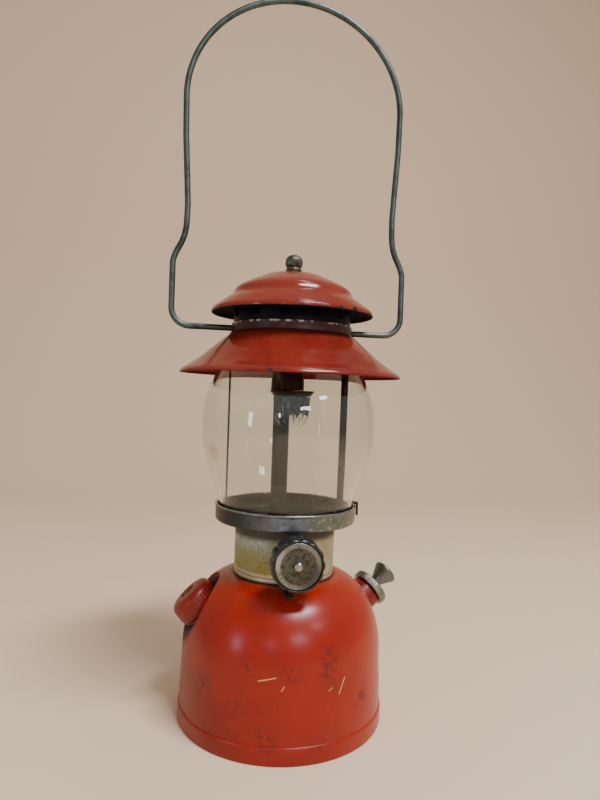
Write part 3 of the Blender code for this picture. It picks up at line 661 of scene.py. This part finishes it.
def tube_steel():
    """The air tube: black near the flame and dull grey-brown lower down."""
    skin = Surface("tube_steel", (0.0075, 0.007, 0.0068), 0.46, 0.3)
    lower = skin.step(skin.wavering(9, 6, 3), 26 * MM, 22 * MM)
    skin.layer(lower, (0.042, 0.038, 0.022), 0.46, 0.4)
    skin.layer(skin.times(lower, skin.patches(6, 0.45, 0.62, detail=6)), (0.085, 0.076, 0.048), 0.5, 0.4)
    skin.mottle(4, 0.6, 0.72, (0.03, 0.02, 0.015), 0.6, seed=6)
    skin.bump(skin.noise(0.7, 6, 0.7), 0.05, 0.5)
    return skin.done()


def strip_steel(name, change, seed):
    """An upright: blackened above, brighter below the height where the change is."""
    skin = Surface(name, (0.012, 0.01, 0.01), 0.42, 0.5)
    lower = skin.step(skin.wavering(7, 8, seed), (change + 8) * MM, change * MM)
    skin.layer(lower, (0.16, 0.145, 0.1), 0.36, 0.7, strength=0.85)
    skin.mottle(5, 0.52, 0.66, (0.03, 0.024, 0.018), 0.55, 0.5, strength=0.6, seed=seed)
    return skin.scratched(0.02, seed).done()


def zinc(name="bail_zinc", colour=(0.082, 0.108, 0.098), seed=0):
    """Plated wire gone grey-green, rubbed in places."""
    skin = Surface(name, colour, 0.38, 0.85)
    skin.mottle(18, 0.42, 0.62, (0.042, 0.055, 0.051), 0.46, detail=5, seed=seed)
    skin.mottle(5, 0.54, 0.68, (0.11, 0.14, 0.135), 0.32, strength=0.45, seed=seed + 2)
    skin.mottle(1.8, 0.64, 0.72, (0.05, 0.032, 0.018), 0.7, 0.3, detail=5, seed=seed + 5)
    skin.bump(skin.noise(0.9, 5, 0.6, seed=seed), 0.03, 0.5)
    return skin.done()


def nut_metal():
    """The ball nut: brown-green plating over steel, bright where fingers turn it."""
    skin = Surface("nut_metal", (0.13, 0.13, 0.092), 0.34, 0.8)
    skin.mottle(3.5, 0.42, 0.6, (0.045, 0.046, 0.036), 0.46, seed=1)
    skin.mottle(1.6, 0.55, 0.68, (0.17, 0.16, 0.13), 0.3, strength=0.7, seed=4)
    return skin.scratched(0.03, 1).done()


def brass():
    skin = Surface("old_brass", (0.42, 0.3, 0.12), 0.36, 1)
    skin.mottle(6, 0.4, 0.66, (0.22, 0.15, 0.06), 0.48, seed=1)
    skin.mottle(2, 0.6, 0.72, (0.1, 0.12, 0.07), 0.65, 0.5, seed=3)
    return skin.scratched(0.02, 3).done()


def knob_plastic():
    """Black moulded plastic, greyed along its edges."""
    skin = Surface("knob_plastic", (0.0055, 0.006, 0.007), 0.32)
    skin.mottle(5, 0.48, 0.66, (0.012, 0.013, 0.016), 0.46, strength=0.8, seed=1)
    worn = skin.times(skin.radius(14.6, 15.9), skin.patches(1.6, 0.46, 0.62, detail=5, seed=3))
    skin.layer(worn, (0.035, 0.036, 0.036), 0.5, strength=0.5)
    skin.bump(skin.noise(0.7, 4), 0.03, 0.5)
    return skin.done()


def dial_metal():
    """A plated disc, silver at its border, whose dark infill has mostly rubbed to brown, with a painted highlight
    on one side of the border and painted shade on the other.
    """
    skin = Surface("dial_metal", (0.2, 0.21, 0.185), 0.26, 0.85)
    skin.mottle(5, 0.4, 0.66, (0.15, 0.145, 0.095), 0.38, 0.8, strength=0.6, seed=2)
    # Painted shade on one side of the border.
    skin.layer(skin.near((9, -8, 61), 4, 13), (0.035, 0.042, 0.036), 0.34, 0.8, strength=0.75)
    # Painted highlight: a bright silver crescent on the other side of the border.
    skin.layer(skin.near((-11, 3, 61), 2, 9), (0.4, 0.42, 0.4), 0.22, 0.95, strength=0.7)
    inner = skin.radius(11.5, 10.2)
    skin.layer(inner, (0.052, 0.046, 0.024), 0.42, 0.5, strength=0.85)
    dark = skin.times(inner, skin.patches(2.4, 0.44, 0.6, detail=3, seed=5))
    skin.layer(dark, (0.018, 0.012, 0.01), 0.45, 0.4, strength=0.8)
    fleck = skin.times(inner, skin.patches(1.2, 0.56, 0.68, seed=7))
    skin.layer(fleck, (0.13, 0.13, 0.07), 0.38, 0.7, strength=0.6)
    return skin.scratched(0.02, 4).done()


def ink():
    skin = Surface("dial_ink", (0.014, 0.014, 0.013), 0.5)
    skin.mottle(0.8, 0.56, 0.66, (0.12, 0.11, 0.09), 0.5, strength=0.7, detail=4)
    return skin.done()


def globe_glass():
    """Clear glass with a faint green cast, a thin bloom of dust and a brown smudge."""
    skin = Surface("globe_glass", (0.925, 0.95, 0.905), 0)
    smear = skin.patches(4, 0.35, 0.6, detail=5, seed=3)
    smudge = skin.times(skin.near((-50, -22, 45), 2, 9), smear)
    skin.layer(smudge, (0.62, 0.36, 0.2), 0.15, strength=0.7)
    bloom = skin.patches(16, 0.5, 0.8, detail=6, seed=1)
    skin.layer(bloom, None, 0.05)
    skin.bump(skin.noise(40, 1, seed=4), 0.3, 0.1)
    return skin.plain(Transmission_Weight=1, IOR=1.47).done()


def ash():
    """Burnt mantle: blue-grey, paler at the torn edge, with what is left of its knit."""
    skin = Surface("mantle_ash", (0.085, 0.125, 0.15), 0.9)
    skin.layer(skin.height(9, 2), (0.22, 0.25, 0.26), strength=0.6)
    skin.mottle(4.5, 0.44, 0.64, (0.03, 0.045, 0.056), strength=0.75, stretch=(1, 1, 0.4), seed=2)
    skin.mottle(
        2.2, 0.58, 0.7, (0.42, 0.45, 0.46), strength=0.6, detail=5, stretch=(1.6, 1.6, 0.35), seed=6
    )
    sockets = {"Vector": skin.point, "Scale": 1 / (1.4 * MM), "Distortion": 3}
    knit = skin.node("ShaderNodeTexWave", sockets, wave_type="BANDS", bands_direction="Z")
    skin.bump(knit.outputs["Fac"], 0.1, 0.5)
    return skin.plain(Sheen_Weight=0.2).done()


def thread_ash():
    skin = Surface("thread_ash", (0.46, 0.49, 0.52), 0.9)
    skin.mottle(2, 0.45, 0.6, (0.14, 0.165, 0.18), detail=4, seed=2)
    skin.bump(skin.noise(0.4, 4), 0.05, 0.6)
    return skin.done()


def hide():
    skin = Surface("oiled_leather", (0.11, 0.055, 0.025), 0.62)
    skin.mottle(3, 0.45, 0.65, (0.06, 0.03, 0.015), 0.5)
    skin.bump(skin.noise(0.6, 6, 0.7), 0.08, 0.7)
    return skin.done()


def seal():
    skin = Surface("black_rubber", (0.02, 0.02, 0.02), 0.75)
    skin.mottle(2, 0.5, 0.7, (0.045, 0.043, 0.04), 0.85)
    skin.bump(skin.noise(0.5, 5), 0.04, 0.6)
    return skin.done()


# Fount


def sink_recess(mesh, place):
    """Presses the filler's flat recess into the shoulder of the fount."""
    into = on_joint("cap_turn").inverted() @ place
    back = into.inverted()
    floor = CAP_RECESS_FLOOR * MM
    start = CAP_RECESS_R - CAP_RECESS_LIP[0]
    for vertex in mesh.vertices:
        spot = into @ vertex.co
        t = (spot.xy.length / MM - start) / sum(CAP_RECESS_LIP)
        if floor < spot.z < 40 * MM and t < 1:
            t = max(t, 0)
            spot.z = floor + (spot.z - floor) * t * t * (3 - 2 * t)
            vertex.co = back @ spot


def make_fount():
    place = seat("fount_shell")
    top = height_of("fount_shell")
    shoulder = arc((33.5, top - 49.4), (32.35, 47.6), 90, 0, 84)
    profile = [(0, top), (10, top - 0.1), (22, top - 0.8)] + shoulder
    profile += [(66, 38), (66.4, 30), (66.8, 22), (66.9, 15), (67, 10), (67, 0)]
    profile += [(66, 0), (66, 6), (0, 6)]
    mesh = turned_mesh("fount_look", profile, FINE_SIDES, dented(0.22, 24, 5))
    sink_recess(mesh, place)
    fount = finished("fount_look", mesh, fount_paint(), "fount_shell", place)
    cut(fount, rod_mesh(PUMP_HOLE_R, -90, 12), on_joint("plunger_turn"))
    profile = [
        (0, 5.9), (58, 4.9, 2), (62.2, 3.1, 1.5), (64.2, 1.2, 0.8), (66.2, 1.2, 0.3), (66.2, 10.9),
        (67.3, 10.9, 0.5), (67.95, 9.6, 0.8), (67.95, 0.9, 0.8), (67.4, 0, 0.5), (63.5, 0, 0.5),
        (61.6, 2, 1.2), (57.6, 3.9, 2), (0, 4.9),
    ]
    lathe("fount_foot", profile, fount_paint(), "fount_base", None, FINE_SIDES)


def make_filler():
    place = on_joint("cap_turn")
    profile = [
        (8.9, 6.2, 0.3), (11.3, 6.2, 0.4), (11.3, -0.4, 1.2), (14.4, -0.4, 0.6), (14.6, -2.2),
        (11.3, -2.2), (11.3, -9), (8.9, -9),
    ]
    lathe("neck_look", profile, part_paint("neck_red", True), "filler_neck", place)
    profile = [
        (2.3, 12.4), (4.8, 12.4, 0.3), (5.2, 13.9, 0.5), (9.8, 13.7, 2), (13.2, 12.6, 1.6),
        (14.9, 10.2, 1.6), (15.5, 2.2, 0.9), (15.4, 0, 0.7), (12.2, 0, 0.4), (12.1, 8.4), (2.3, 8.4),
    ]
    shift = fluted(40, 0.2, 0.6, 9.8, 13.5)
    lathe("cap_look", profile, part_paint("cap_red"), "fuel_cap", place, 320, shift)
    profile = [(0, 14.3), (2.8, 14, 1.2), (4.4, 13.1, 0.5), (4.4, 12.6)]
    profile += [(1.5, 12.6), (1.5, 2.5), (0, 2.5)]
    skin = nickel("cap_screw_nickel", (0.07, 0.03, 0.022), 0.42, 6)
    screw = lathe("cap_screw_look", profile, skin, "fuel_cap_screw", place, 64)
    cut(screw, block_mesh((-0.5, -6, 13.4), (0.5, 6, 16)), place)


# Pump


def make_pump():
    place = on_joint("plunger_turn")
    profile = [(8.15, -0.3), (11.3, -0.3, 0.5), (11.3, -13, 2), (12.6, -17), (8.15, -17)]
    lathe("boss_look", profile, part_paint("boss_red"), "pump_boss", place)
    profile = [
        (2.5, 5.2), (8.6, 5.2, 0.3), (9.5, 6, 0.5), (12.7, 6, 1), (13.6, 4.9, 0.8), (13.6, 0.8, 0.5),
        (13, 0, 0.4), (6.4, 0), (6.2, -4), (2.5, -4),
    ]
    shift = fluted(56, 0.22, 0.6, 5.2, 13.2)
    skin = nickel("pump_nickel", (0.23, 0.24, 0.21), 0.26, 4)
    lathe("pump_cap_look", profile, skin, "pump_cap", place, 448, shift)
    profile = [(0, 13.4), (2.2, 13.4, 0.3), (2.2, -80), (1.45, -80), (1.45, 7), (0, 7)]
    lathe("plunger_rod_look", profile, SKINS["nickel"], "plunger_rod", place, 48)
    profile = [
        (0, 21.2, 2), (5.6, 21.7, 1.5), (8.2, 20.9, 0.7), (9, 19.9, 0.6), (8.8, 18.8, 0.8),
        (5.8, 13.2, 3), (4.1, 9.6, 2), (3.6, 6.4, 0.4), (2.5, 6.4), (2.5, 13.8), (0, 13.8),
    ]
    skin = nickel("plunger_nickel", (0.15, 0.18, 0.18), 0.34, 8)
    lathe("plunger_knob_look", profile, skin, "plunger_knob", place, 96)


# Collar, knob and lever


def make_collar():
    place = seat("collar")
    top = height_of("collar")
    profile = [
        (32.6, top), (33.4, top, 0.2), (33.4, 3.4, 0.8), (33.05, 2.6, 0.8), (33.4, 1.7, 0.8),
        (33.4, 0, 0.3), (32.6, 0),
    ]
    collar = lathe("collar_look", profile, collar_metal(), "collar", place, FINE_SIDES)
    cut(collar, rod_mesh(SPINDLE_HOLE_R, 20, 45), on_joint("knob_turn"))
    cut(collar, rod_mesh(LEVER_HOLE_R, 20, 45), on_joint("cleaner_turn"))


def lobed(radius, _height, angle):
    """A shift for turned_mesh: the knob's scalloped rim."""
    if radius < KNOB_RIM_R:
        return radius
    return radius - 0.75 * (0.5 - 0.5 * cos(KNOB_LOBES * angle)) ** 2


def make_knob():
    place = on_joint("knob_turn")
    profile = [
        (2.6, 60.7), (14.1, 60.7), (14.3, 61.9, 0.3), (14.9, 62, 0.4), (16.2, 60.9, 1.2),
        (16.2, 51.4, 1), (15.2, 50.5, 0.6), (6.6, 50.5, 0.8), (6, 41, 0.4), (2.6, 41),
    ]
    lathe("knob_look", profile, knob_plastic(), "control_knob", place, 336, lobed)
    profile = [(2.3, 61.7), (13.4, 61.7, 0.3), (13.8, 61.4, 0.2), (13.8, 61), (2.3, 61)]
    lathe("dial_look", profile, dial_metal(), "knob_dial", place, 96)
    profile = [(0, 64.2), (2, 63.9, 1.2), (3, 62.6, 0.5), (3, 61.8)]
    profile += [(1.6, 61.8), (1.6, 58), (0, 58)]
    lathe("knob_screw_look", profile, SKINS["nickel"], "knob_screw", place, 64)
    profile = [(0, 57.6), (2.2, 57.6, 0.3), (2.2, -10), (0.8, -14), (0, -14)]
    lathe("spindle_look", profile, SKINS["brass"], "valve_stem", place, 48)
    make_dial_marks(place)
    softened("packing_nut", SKINS["brass"], 0.5)
    softened("cleaner_lever", dark_steel("lever_black", (0.012, 0.012, 0.013), 5), 0.35)


def make_dial_marks(place):
    """A pointer and an arc of ticks, with no words."""
    shape = bmesh.new()

    def plate(corners):
        low, high = (
            [shape.verts.new((x * MM, y * MM, z * MM)) for x, y in corners] for z in (61.6, 61.78)
        )
        shape.faces.new(high)
        shape.faces.new(low[::-1])
        for index in range(len(corners)):
            after = (index + 1) % len(corners)
            shape.faces.new((low[index], low[after], high[after], high[index]))

    plate([(-0.8, 10.2), (0.8, 10.2), (0, 12.6)])
    for tick in range(DIAL_TICKS):
        angle = radians(200 + 14 * tick)
        out = Vector(polar(1, angle))
        side = Vector((-out.y, out.x)) * 0.16
        inner = 10.6 if tick % 5 == 0 else 11.4
        plate([out * inner - side, out * 12.6 - side, out * 12.6 + side, out * inner + side])
    marks = finished("dial_marks", mesh_of(shape, "dial_marks"), ink(), None, place, "control_knob")


# Burner


def make_pan():
    place = seat("burner_plate")
    profile = [
        (0, 0.9), (8, 0.9, 0.5), (9, 1.5, 0.5), (20, 1.5, 0.5), (21, 0.9, 0.5), (35, 0.9, 1.5),
        (45.3, 2.7, 0.8), (46, 3.8, 0.8), (46.3, 10.6, 0.3), (45.7, 11.2, 0.4), (45.7, 12.3, 0.5),
        (47.4, 12.3, 0.55), (47.4, 11, 0.3), (47, 10.6, 0.3), (46.9, 2.6, 0.8), (46.2, 1.7, 0.8),
        (35, 0, 1.5), (0, 0),
    ]
    pan = lathe("pan_look", profile, pan_metal(), "burner_plate", place, FINE_SIDES, dented(0.15, 30))
    middle = middle_of("fuel_tube") * MM
    cut(pan, rod_mesh(TUBE_HOLE_R, 120, 135), Matrix.Translation((*middle, 0)))
    softened("rim_clip", dark_steel("clip_black", (0.01, 0.01, 0.01), 2), 0.3)


def elbow_line(start, end, top, low_z, high_z):
    """Up from the air tube, over in a half circle and down to the burner."""
    centre = (start + end) / 2
    reach = (end - start).length / 2
    along = (end - start).normalized()
    points = [(start.x, start.y, low_z)]
    for step in range(33):
        angle = pi * step / 32
        spot = centre - along * reach * cos(angle)
        points.append((spot.x, spot.y, top + reach * sin(angle)))
    return points + [(end.x, end.y, high_z)]


def make_burner():
    start, end = middle_of("air_tube"), middle_of("burner_cap")
    length = height_of("air_tube")
    profile = [(4.6, length), (5.75, length, 0.3), (5.75, 2.4, 0.6), (6.4, 1.6, 0.4), (6.4, 0), (4.6, 0)]
    lathe("air_tube_look", profile, tube_steel(), "air_tube", None, 64)
    low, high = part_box("mixing_elbow")
    top = high.z / MM - ELBOW_R - (end - start).length / 2
    line = elbow_line(start, end, top, low.z / MM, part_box("burner_cap")[1].z / MM + 0.3)
    mesh = swept_mesh("elbow_look", line, ELBOW_R)
    skin = dark_steel("elbow_steel", (0.016, 0.016, 0.016), 9)
    elbow = finished("elbow_look", mesh, skin, "mixing_elbow", Matrix())
    bore_z = 190
    inside = swept_mesh("elbow_inside", elbow_line(start, end, top, bore_z, bore_z), ELBOW_BORE_R)
    cut(elbow, inside, Matrix())
    profile = [
        (7.2, 9.7), (14.5, 9.7, 0.4), (14.5, 8.2, 0.4), (13.2, 7.9, 0.3), (13, 6.4, 0.3),
        (10.5, 6.2, 0.4), (10.5, 0, 0.4), (7.2, 0),
    ]
    skin = dark_steel("cap_steel", (0.02, 0.02, 0.021), 3)
    lathe("burner_cap_look", profile, skin, "burner_cap", None, 96)
    make_mantle()


def torn_edge(columns):
    """How far up the mantle is torn away, all round."""
    edge = []
    for column in range(columns):
        angle = 2 * pi * column / columns
        wave = noise.noise(Vector((*polar(2.2, angle), 4)))
        tooth = noise.noise(Vector((*polar(9, angle), 8)))
        edge.append(max(0.4, TORN_EDGE + 7 * wave + 3.6 * tooth))
    return edge


def mantle_mesh(edge, top, rows=26):
    """A crumpled sleeve down to its torn edge."""
    columns = len(edge)
    shape = bmesh.new()
    grid = []
    for row in range(rows):
        share = row / (rows - 1)
        line = []
        for column in range(columns):
            angle = 2 * pi * column / columns
            height = top + (edge[column] - top) * share
            fold = sin(17 * angle + 2 * sin(3 * angle)) * 0.35
            crumple = noise.noise(Vector((*polar(4, angle), height * 0.3)))
            radius = 12.7 - 1.7 * (1 - height / top)
            radius += (fold + 0.9 * crumple) * min(1, 3 * share) - 0.4
            line.append(shape.verts.new((*polar(radius * MM, angle), height * MM)))
        grid.append(line)
    for upper, lower in zip(grid, grid[1:]):
        for column in range(columns):
            after = (column + 1) % columns
            shape.faces.new((upper[column], lower[column], lower[after], upper[after]))
    return mesh_of(shape, "mantle_look")


def thread_meshes(edge):
    """Threads of the knit that hang from the torn edge."""
    dice = random.Random(12)
    swell = [1, 0.9, 0.8, 0.7, 0.6, 0.5, 0.35]
    joined = bmesh.new()
    for _ in range(THREADS):
        column = dice.randrange(len(edge))
        angle = 2 * pi * column / len(edge)
        height = edge[column] + 2.4
        drop = min(height, dice.uniform(5, 15))
        sway, turn = dice.uniform(-4.5, 0.8), dice.uniform(-0.7, 0.7)
        points = []
        for step in range(len(swell)):
            share = step / (len(swell) - 1)
            points.append((*polar(11.3 + sway * share**2, angle + turn * share), height - drop * share))
        joined.from_mesh(swept_mesh("thread", points, 0.28, swell, 2))
    return mesh_of(joined, "mantle_threads")


def make_mantle():
    """What is left of the mantle: a torn collar of ash and a few threads under it."""
    place = seat("mantle")
    top = height_of("mantle")
    edge = torn_edge(120)
    remains = finished("mantle_look", mantle_mesh(edge, top), ash(), "mantle", place)
    hanging = finished("mantle_threads", thread_meshes(edge), thread_ash(), None, place, "fount")
    flat = (2 * pi * MANTLE_R * MM, top * MM)
    area = 2 * pi * MANTLE_MEAN_R * (top - TORN_EDGE) * MM * MM
    area = min(area, flat[0] * flat[1])


def make_frame():
    softened("upright_left", strip_steel("upright_left_steel", 140, 3), 0.2)
    softened("upright_right", strip_steel("upright_right_steel", 172, 6), 0.2)
    softened("crown", SKINS["dark_steel"], 0.3)
    profile = [
        (0, 60.4), (2, 60.4, 0.3), (2.45, 59.8, 0.2), (2.45, 2.7, 0.2), (4.4, 2.7, 0.4), (4.5, 0, 0.6),
        (0, 0),
    ]
    lathe("stud_look", profile, SKINS["dark_steel"], "top_stud", None, 48)


# Globe and ventilator


def make_globe():
    outside = [
        (43.8, 117.95), (44, 112.5), (45.4, 106), (48.2, 99), (51.4, 91.5), (54.9, 82.7), (57.1, 73.1),
        (57.9, 62.1), (56.9, 49.9), (54.1, 38.1), (50, 26.8), (46.8, 17.5), (45, 9.5), (44.3, 0),
    ]
    line = walled(flowing(outside, 8), 2.2)
    middle = len(line) // 2
    line[middle] = (line[middle][0], 0)
    line[-1] = (line[-1][0], outside[0][1])
    ends = {0, middle - 1, middle, len(line) - 1}
    profile = [(r, z, 0.8) if index in ends else (r, z) for index, (r, z) in enumerate(line)]
    lathe("globe_look", profile, globe_glass(), "globe", None, 192)


def rolled(points, bead):
    """A sheet's closed profile whose lower edge is a rolled bead."""
    line = flowing(points, 5)
    closed = walled(line, SHEET)
    half = len(line)
    end = Vector(line[-1])
    along = (end - Vector(line[-2])).normalized()
    inward = Vector((along.y, -along.x))
    centre = end + inward * bead
    roll = []
    for step in range(1, 12):
        angle = pi * 1.35 * step / 12
        roll.append(tuple(centre - inward * bead * cos(angle) + along * bead * sin(angle)))
    inner = [point for point in closed[half:] if (Vector(point) - centre).length > bead * 1.1]
    return closed[:half] + roll + inner


def make_ventilator():
    outside = [
        (40.4, 34), (40.4, 29.6), (41.4, 27.4), (47.8, 22), (54.5, 16.2), (59.3, 12), (66.2, 6.9),
        (70.9, 4), (72.7, 2.6), (73.4, 1.5),
    ]
    shift = dented(0.12, 20, 3)
    skirt = lathe("skirt_look", rolled(outside, 0.75), skirt_enamel(), "ventilator_skirt", None, 224, shift)
    pivot = on_joint("bail_swing")
    cut(skirt, rod_mesh(BAIL_HOLE_R, -50, 50), pivot)
    outside = [
        (3.2, 30), (8, 29.7), (17.9, 27.4), (27.4, 23.4), (35.2, 19.6), (38.6, 16.9), (40, 14.2),
        (41.8, 12), (47.4, 8.2), (52.9, 3.9), (54.1, 2.2), (54.2, 1),
    ]
    shift = dented(0.12, 20, 8)
    skin = enamel("dome_enamel", 0.655, 11, (0.006, 0.005, 0.005), 0.8).done()
    lathe("dome_look", rolled(outside, 0.7), skin, "ventilator_dome", None, 224, shift)
    ring_top = height_of("ventilator_ring")
    profile = [(38.3, ring_top, 0.2), (39.2, ring_top, 0.2), (39.2, 0, 0.2), (38.3, 0, 0.2)]
    skin = dark_steel("ring_steel", (0.0022, 0.0016, 0.0017), 4, 0.12, 0.2)
    ring = lathe("ring_look", profile, skin, "ventilator_ring", None, 192)
    for index in range(RING_WINDOWS // 2):
        turn = Matrix.Rotation(2 * pi * (index + 0.5) / RING_WINDOWS, 4, "Z")
        cut(ring, block_mesh((-45, -3.4, 10), (45, 3.4, 21)), seat("ventilator_ring") @ turn)
    cut(ring, rod_mesh(BAIL_HOLE_R + 0.1, -50, 50), pivot)
    softened("ventilator_bridge", SKINS["dark_steel"], 0.3)


# Bail and nut


def make_bail():
    low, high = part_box("bail")
    pivot = JOINTS["bail_swing"]["pos_m"][2] / MM
    top = high.z / MM - WIRE_R
    middle = (low.x + high.x) / 2 / MM
    outer = (high.x - low.x) / 2 / MM - WIRE_R
    arc_z = pivot + 151
    bend = 12
    half = [(37.8, pivot), (outer - bend, pivot)]
    half += arc((outer - bend, pivot + bend), (bend, bend), -84, 0, 14)
    neck = (outer - 8.5, pivot + 80)
    kink = [(outer, pivot + 36), (outer, pivot + 44.5, 7), (outer - 8, pivot + 59.5, 9), neck]
    half += rounded([(outer, pivot + 20)] + kink)[1:]
    half += flowing([neck, (outer - 7.4, pivot + 100), (outer - 5.9, pivot + 125)], 4)[1:]
    half += arc((0, arc_z), (outer - 5.4, top - arc_z), 0, 88, 40)
    tips = (36.4, 36.7, 37.2)
    right = [(x, 0, pivot) for x in tips] + [(middle + x, 0, z) for x, z in half]
    left = [(-x, 0, pivot) for x in tips] + [(middle - x, 0, z) for x, z in half]
    points = left + [(middle, 0, top)] + right[::-1]
    swell = [1.5, 1.5, 1.45] + [1] * (len(points) - 6) + [1.45, 1.5, 1.5]
    finished("bail_look", swept_mesh("bail_look", points, WIRE_R, swell, 8), zinc(), "bail", Matrix())


def make_nut():
    profile = [(2.9, 0.75), (5.3, 0.75, 0.2), (5.5, 0, 0.2), (2.9, 0)]
    lathe("washer_look", profile, zinc("washer_zinc", seed=4), "nut_washer", None, 64)
    profile = [
        (0, 11.2, 2), (2.2, 10.9, 1.2), (4.2, 9.9, 1.2), (5.6, 8.1, 1.2), (6, 5.5, 1.4), (5.6, 3.3, 1),
        (4.7, 2.1, 0.6), (5, 1.3, 0.3), (5.5, 0.9, 0.3), (5.5, 0, 0.2), (2.8, 0), (2.8, 8.2), (0, 8.2),
    ]
    shift = fluted(30, 0.16, 3.6, 9.4, 5)
    lathe("nut_look", profile, nut_metal(), "ball_nut", None, 240, shift)


# What the frame keeps


def dress_the_rest():
    """Gives each node that is still shown the fuller material of its slot."""
    for node, part in frame["nodes"].items():
        skin = SKINS.get(SLOT_OF[node])
        if skin:
            for index in range(len(part.material_slots)):
                part.material_slots[index].material = skin


# Stage


def make_stage():
    """A pale floor that curves up into a pale wall."""
    half_width, front, wall, bend, height = 2.4, -2.2, 1.5, 0.7, 2.6
    line = [(front, 0), (wall - bend, 0)]
    line += [(wall - bend + y, bend - z) for y, z in arc((0, 0), (bend, bend), 90, 0, 16)][1:]
    line += [(wall, height)]
    mesh = bpy.data.meshes.new("floor")
    points = [(x, y, z) for y, z in line for x in (-half_width, half_width)]
    faces = [(2 * i, 2 * i + 1, 2 * i + 3, 2 * i + 2) for i in range(len(line) - 1)]
    mesh.from_pydata(points, [], faces)
    mesh.shade_smooth()
    floor = linked("floor", mesh)
    skin = Surface("floor_paper", (0.78, 0.61, 0.425), 0.85)
    skin.bump(skin.noise(3, 3), 0.2, 0.1)
    mesh.materials.append(skin.done())


def make_light():
    world = bpy.data.worlds.new("studio")
    world.use_nodes = True
    shade = world.node_tree.nodes["Background"]
    shade.inputs["Color"].default_value = (1, 0.93, 0.85, 1)
    shade.inputs["Strength"].default_value = 0.46
    bpy.context.scene.world = world
    for name, toward, distance, size, power, colour in LAMPS:
        light = bpy.data.lights.new(name, "AREA")
        light.shape = "RECTANGLE"
        light.size, light.size_y = size
        light.energy = power
        light.color = colour
        away = Vector(toward).normalized() * distance
        lamp = linked(name, light)
        lamp.location = Vector((0, 0, LAMPS_AIM)) + away
        lamp.rotation_euler = (-away).to_track_quat("-Z", "Y").to_euler()


def spun(a, b, angle):
    """Two crossed directions, turned by the angle in their own plane."""
    return a * cos(angle) + b * sin(angle), b * cos(angle) - a * sin(angle)


def make_camera():
    bearing = radians(EYE_AZIMUTH)
    eye = Vector((*polar(EYE_REACH, bearing), EYE_HEIGHT)) * MM
    ahead = Vector((*polar(-1, bearing), 0))
    up = Vector((0, 0, 1))
    right = ahead.cross(up)
    yaw, pitch, roll = (radians(angle) for angle in (AIM_YAW, AIM_PITCH, AIM_ROLL))
    ahead, right = spun(ahead, right, yaw)
    ahead, up = spun(ahead, up, -pitch)
    right, up = spun(right, up, roll)
    camera = linked("camera", bpy.data.cameras.new("camera"))
    rows = [(right[i], up[i], -ahead[i], eye[i]) for i in range(3)]
    camera.matrix_world = Matrix(rows + [(0, 0, 0, 1)])
    camera.data.lens = LENS
    camera.data.sensor_width = 36
    camera.data.clip_start = 0.01
    bpy.context.scene.camera = camera


SLOT_OF = {part["node"]: part["material_slot"] for part in frame["record"]["subparts"]}
BODY_OF = {
    node: body for body, nodes in frame["record"]["behaviour"]["bodies"].items() for node in nodes
}
SKINS = {
    "nickel": nickel(),
    "brass": brass(),
    "dark_steel": dark_steel(),
    "galvanised": zinc("plain_zinc", seed=2),
    "leather": hide(),
    "rubber": seal(),
}

make_fount()
make_filler()
make_pump()
make_collar()
make_knob()
make_pan()
make_burner()
make_frame()
make_globe()
make_ventilator()
make_bail()
make_nut()
dress_the_rest()
make_stage()
make_light()
make_camera()
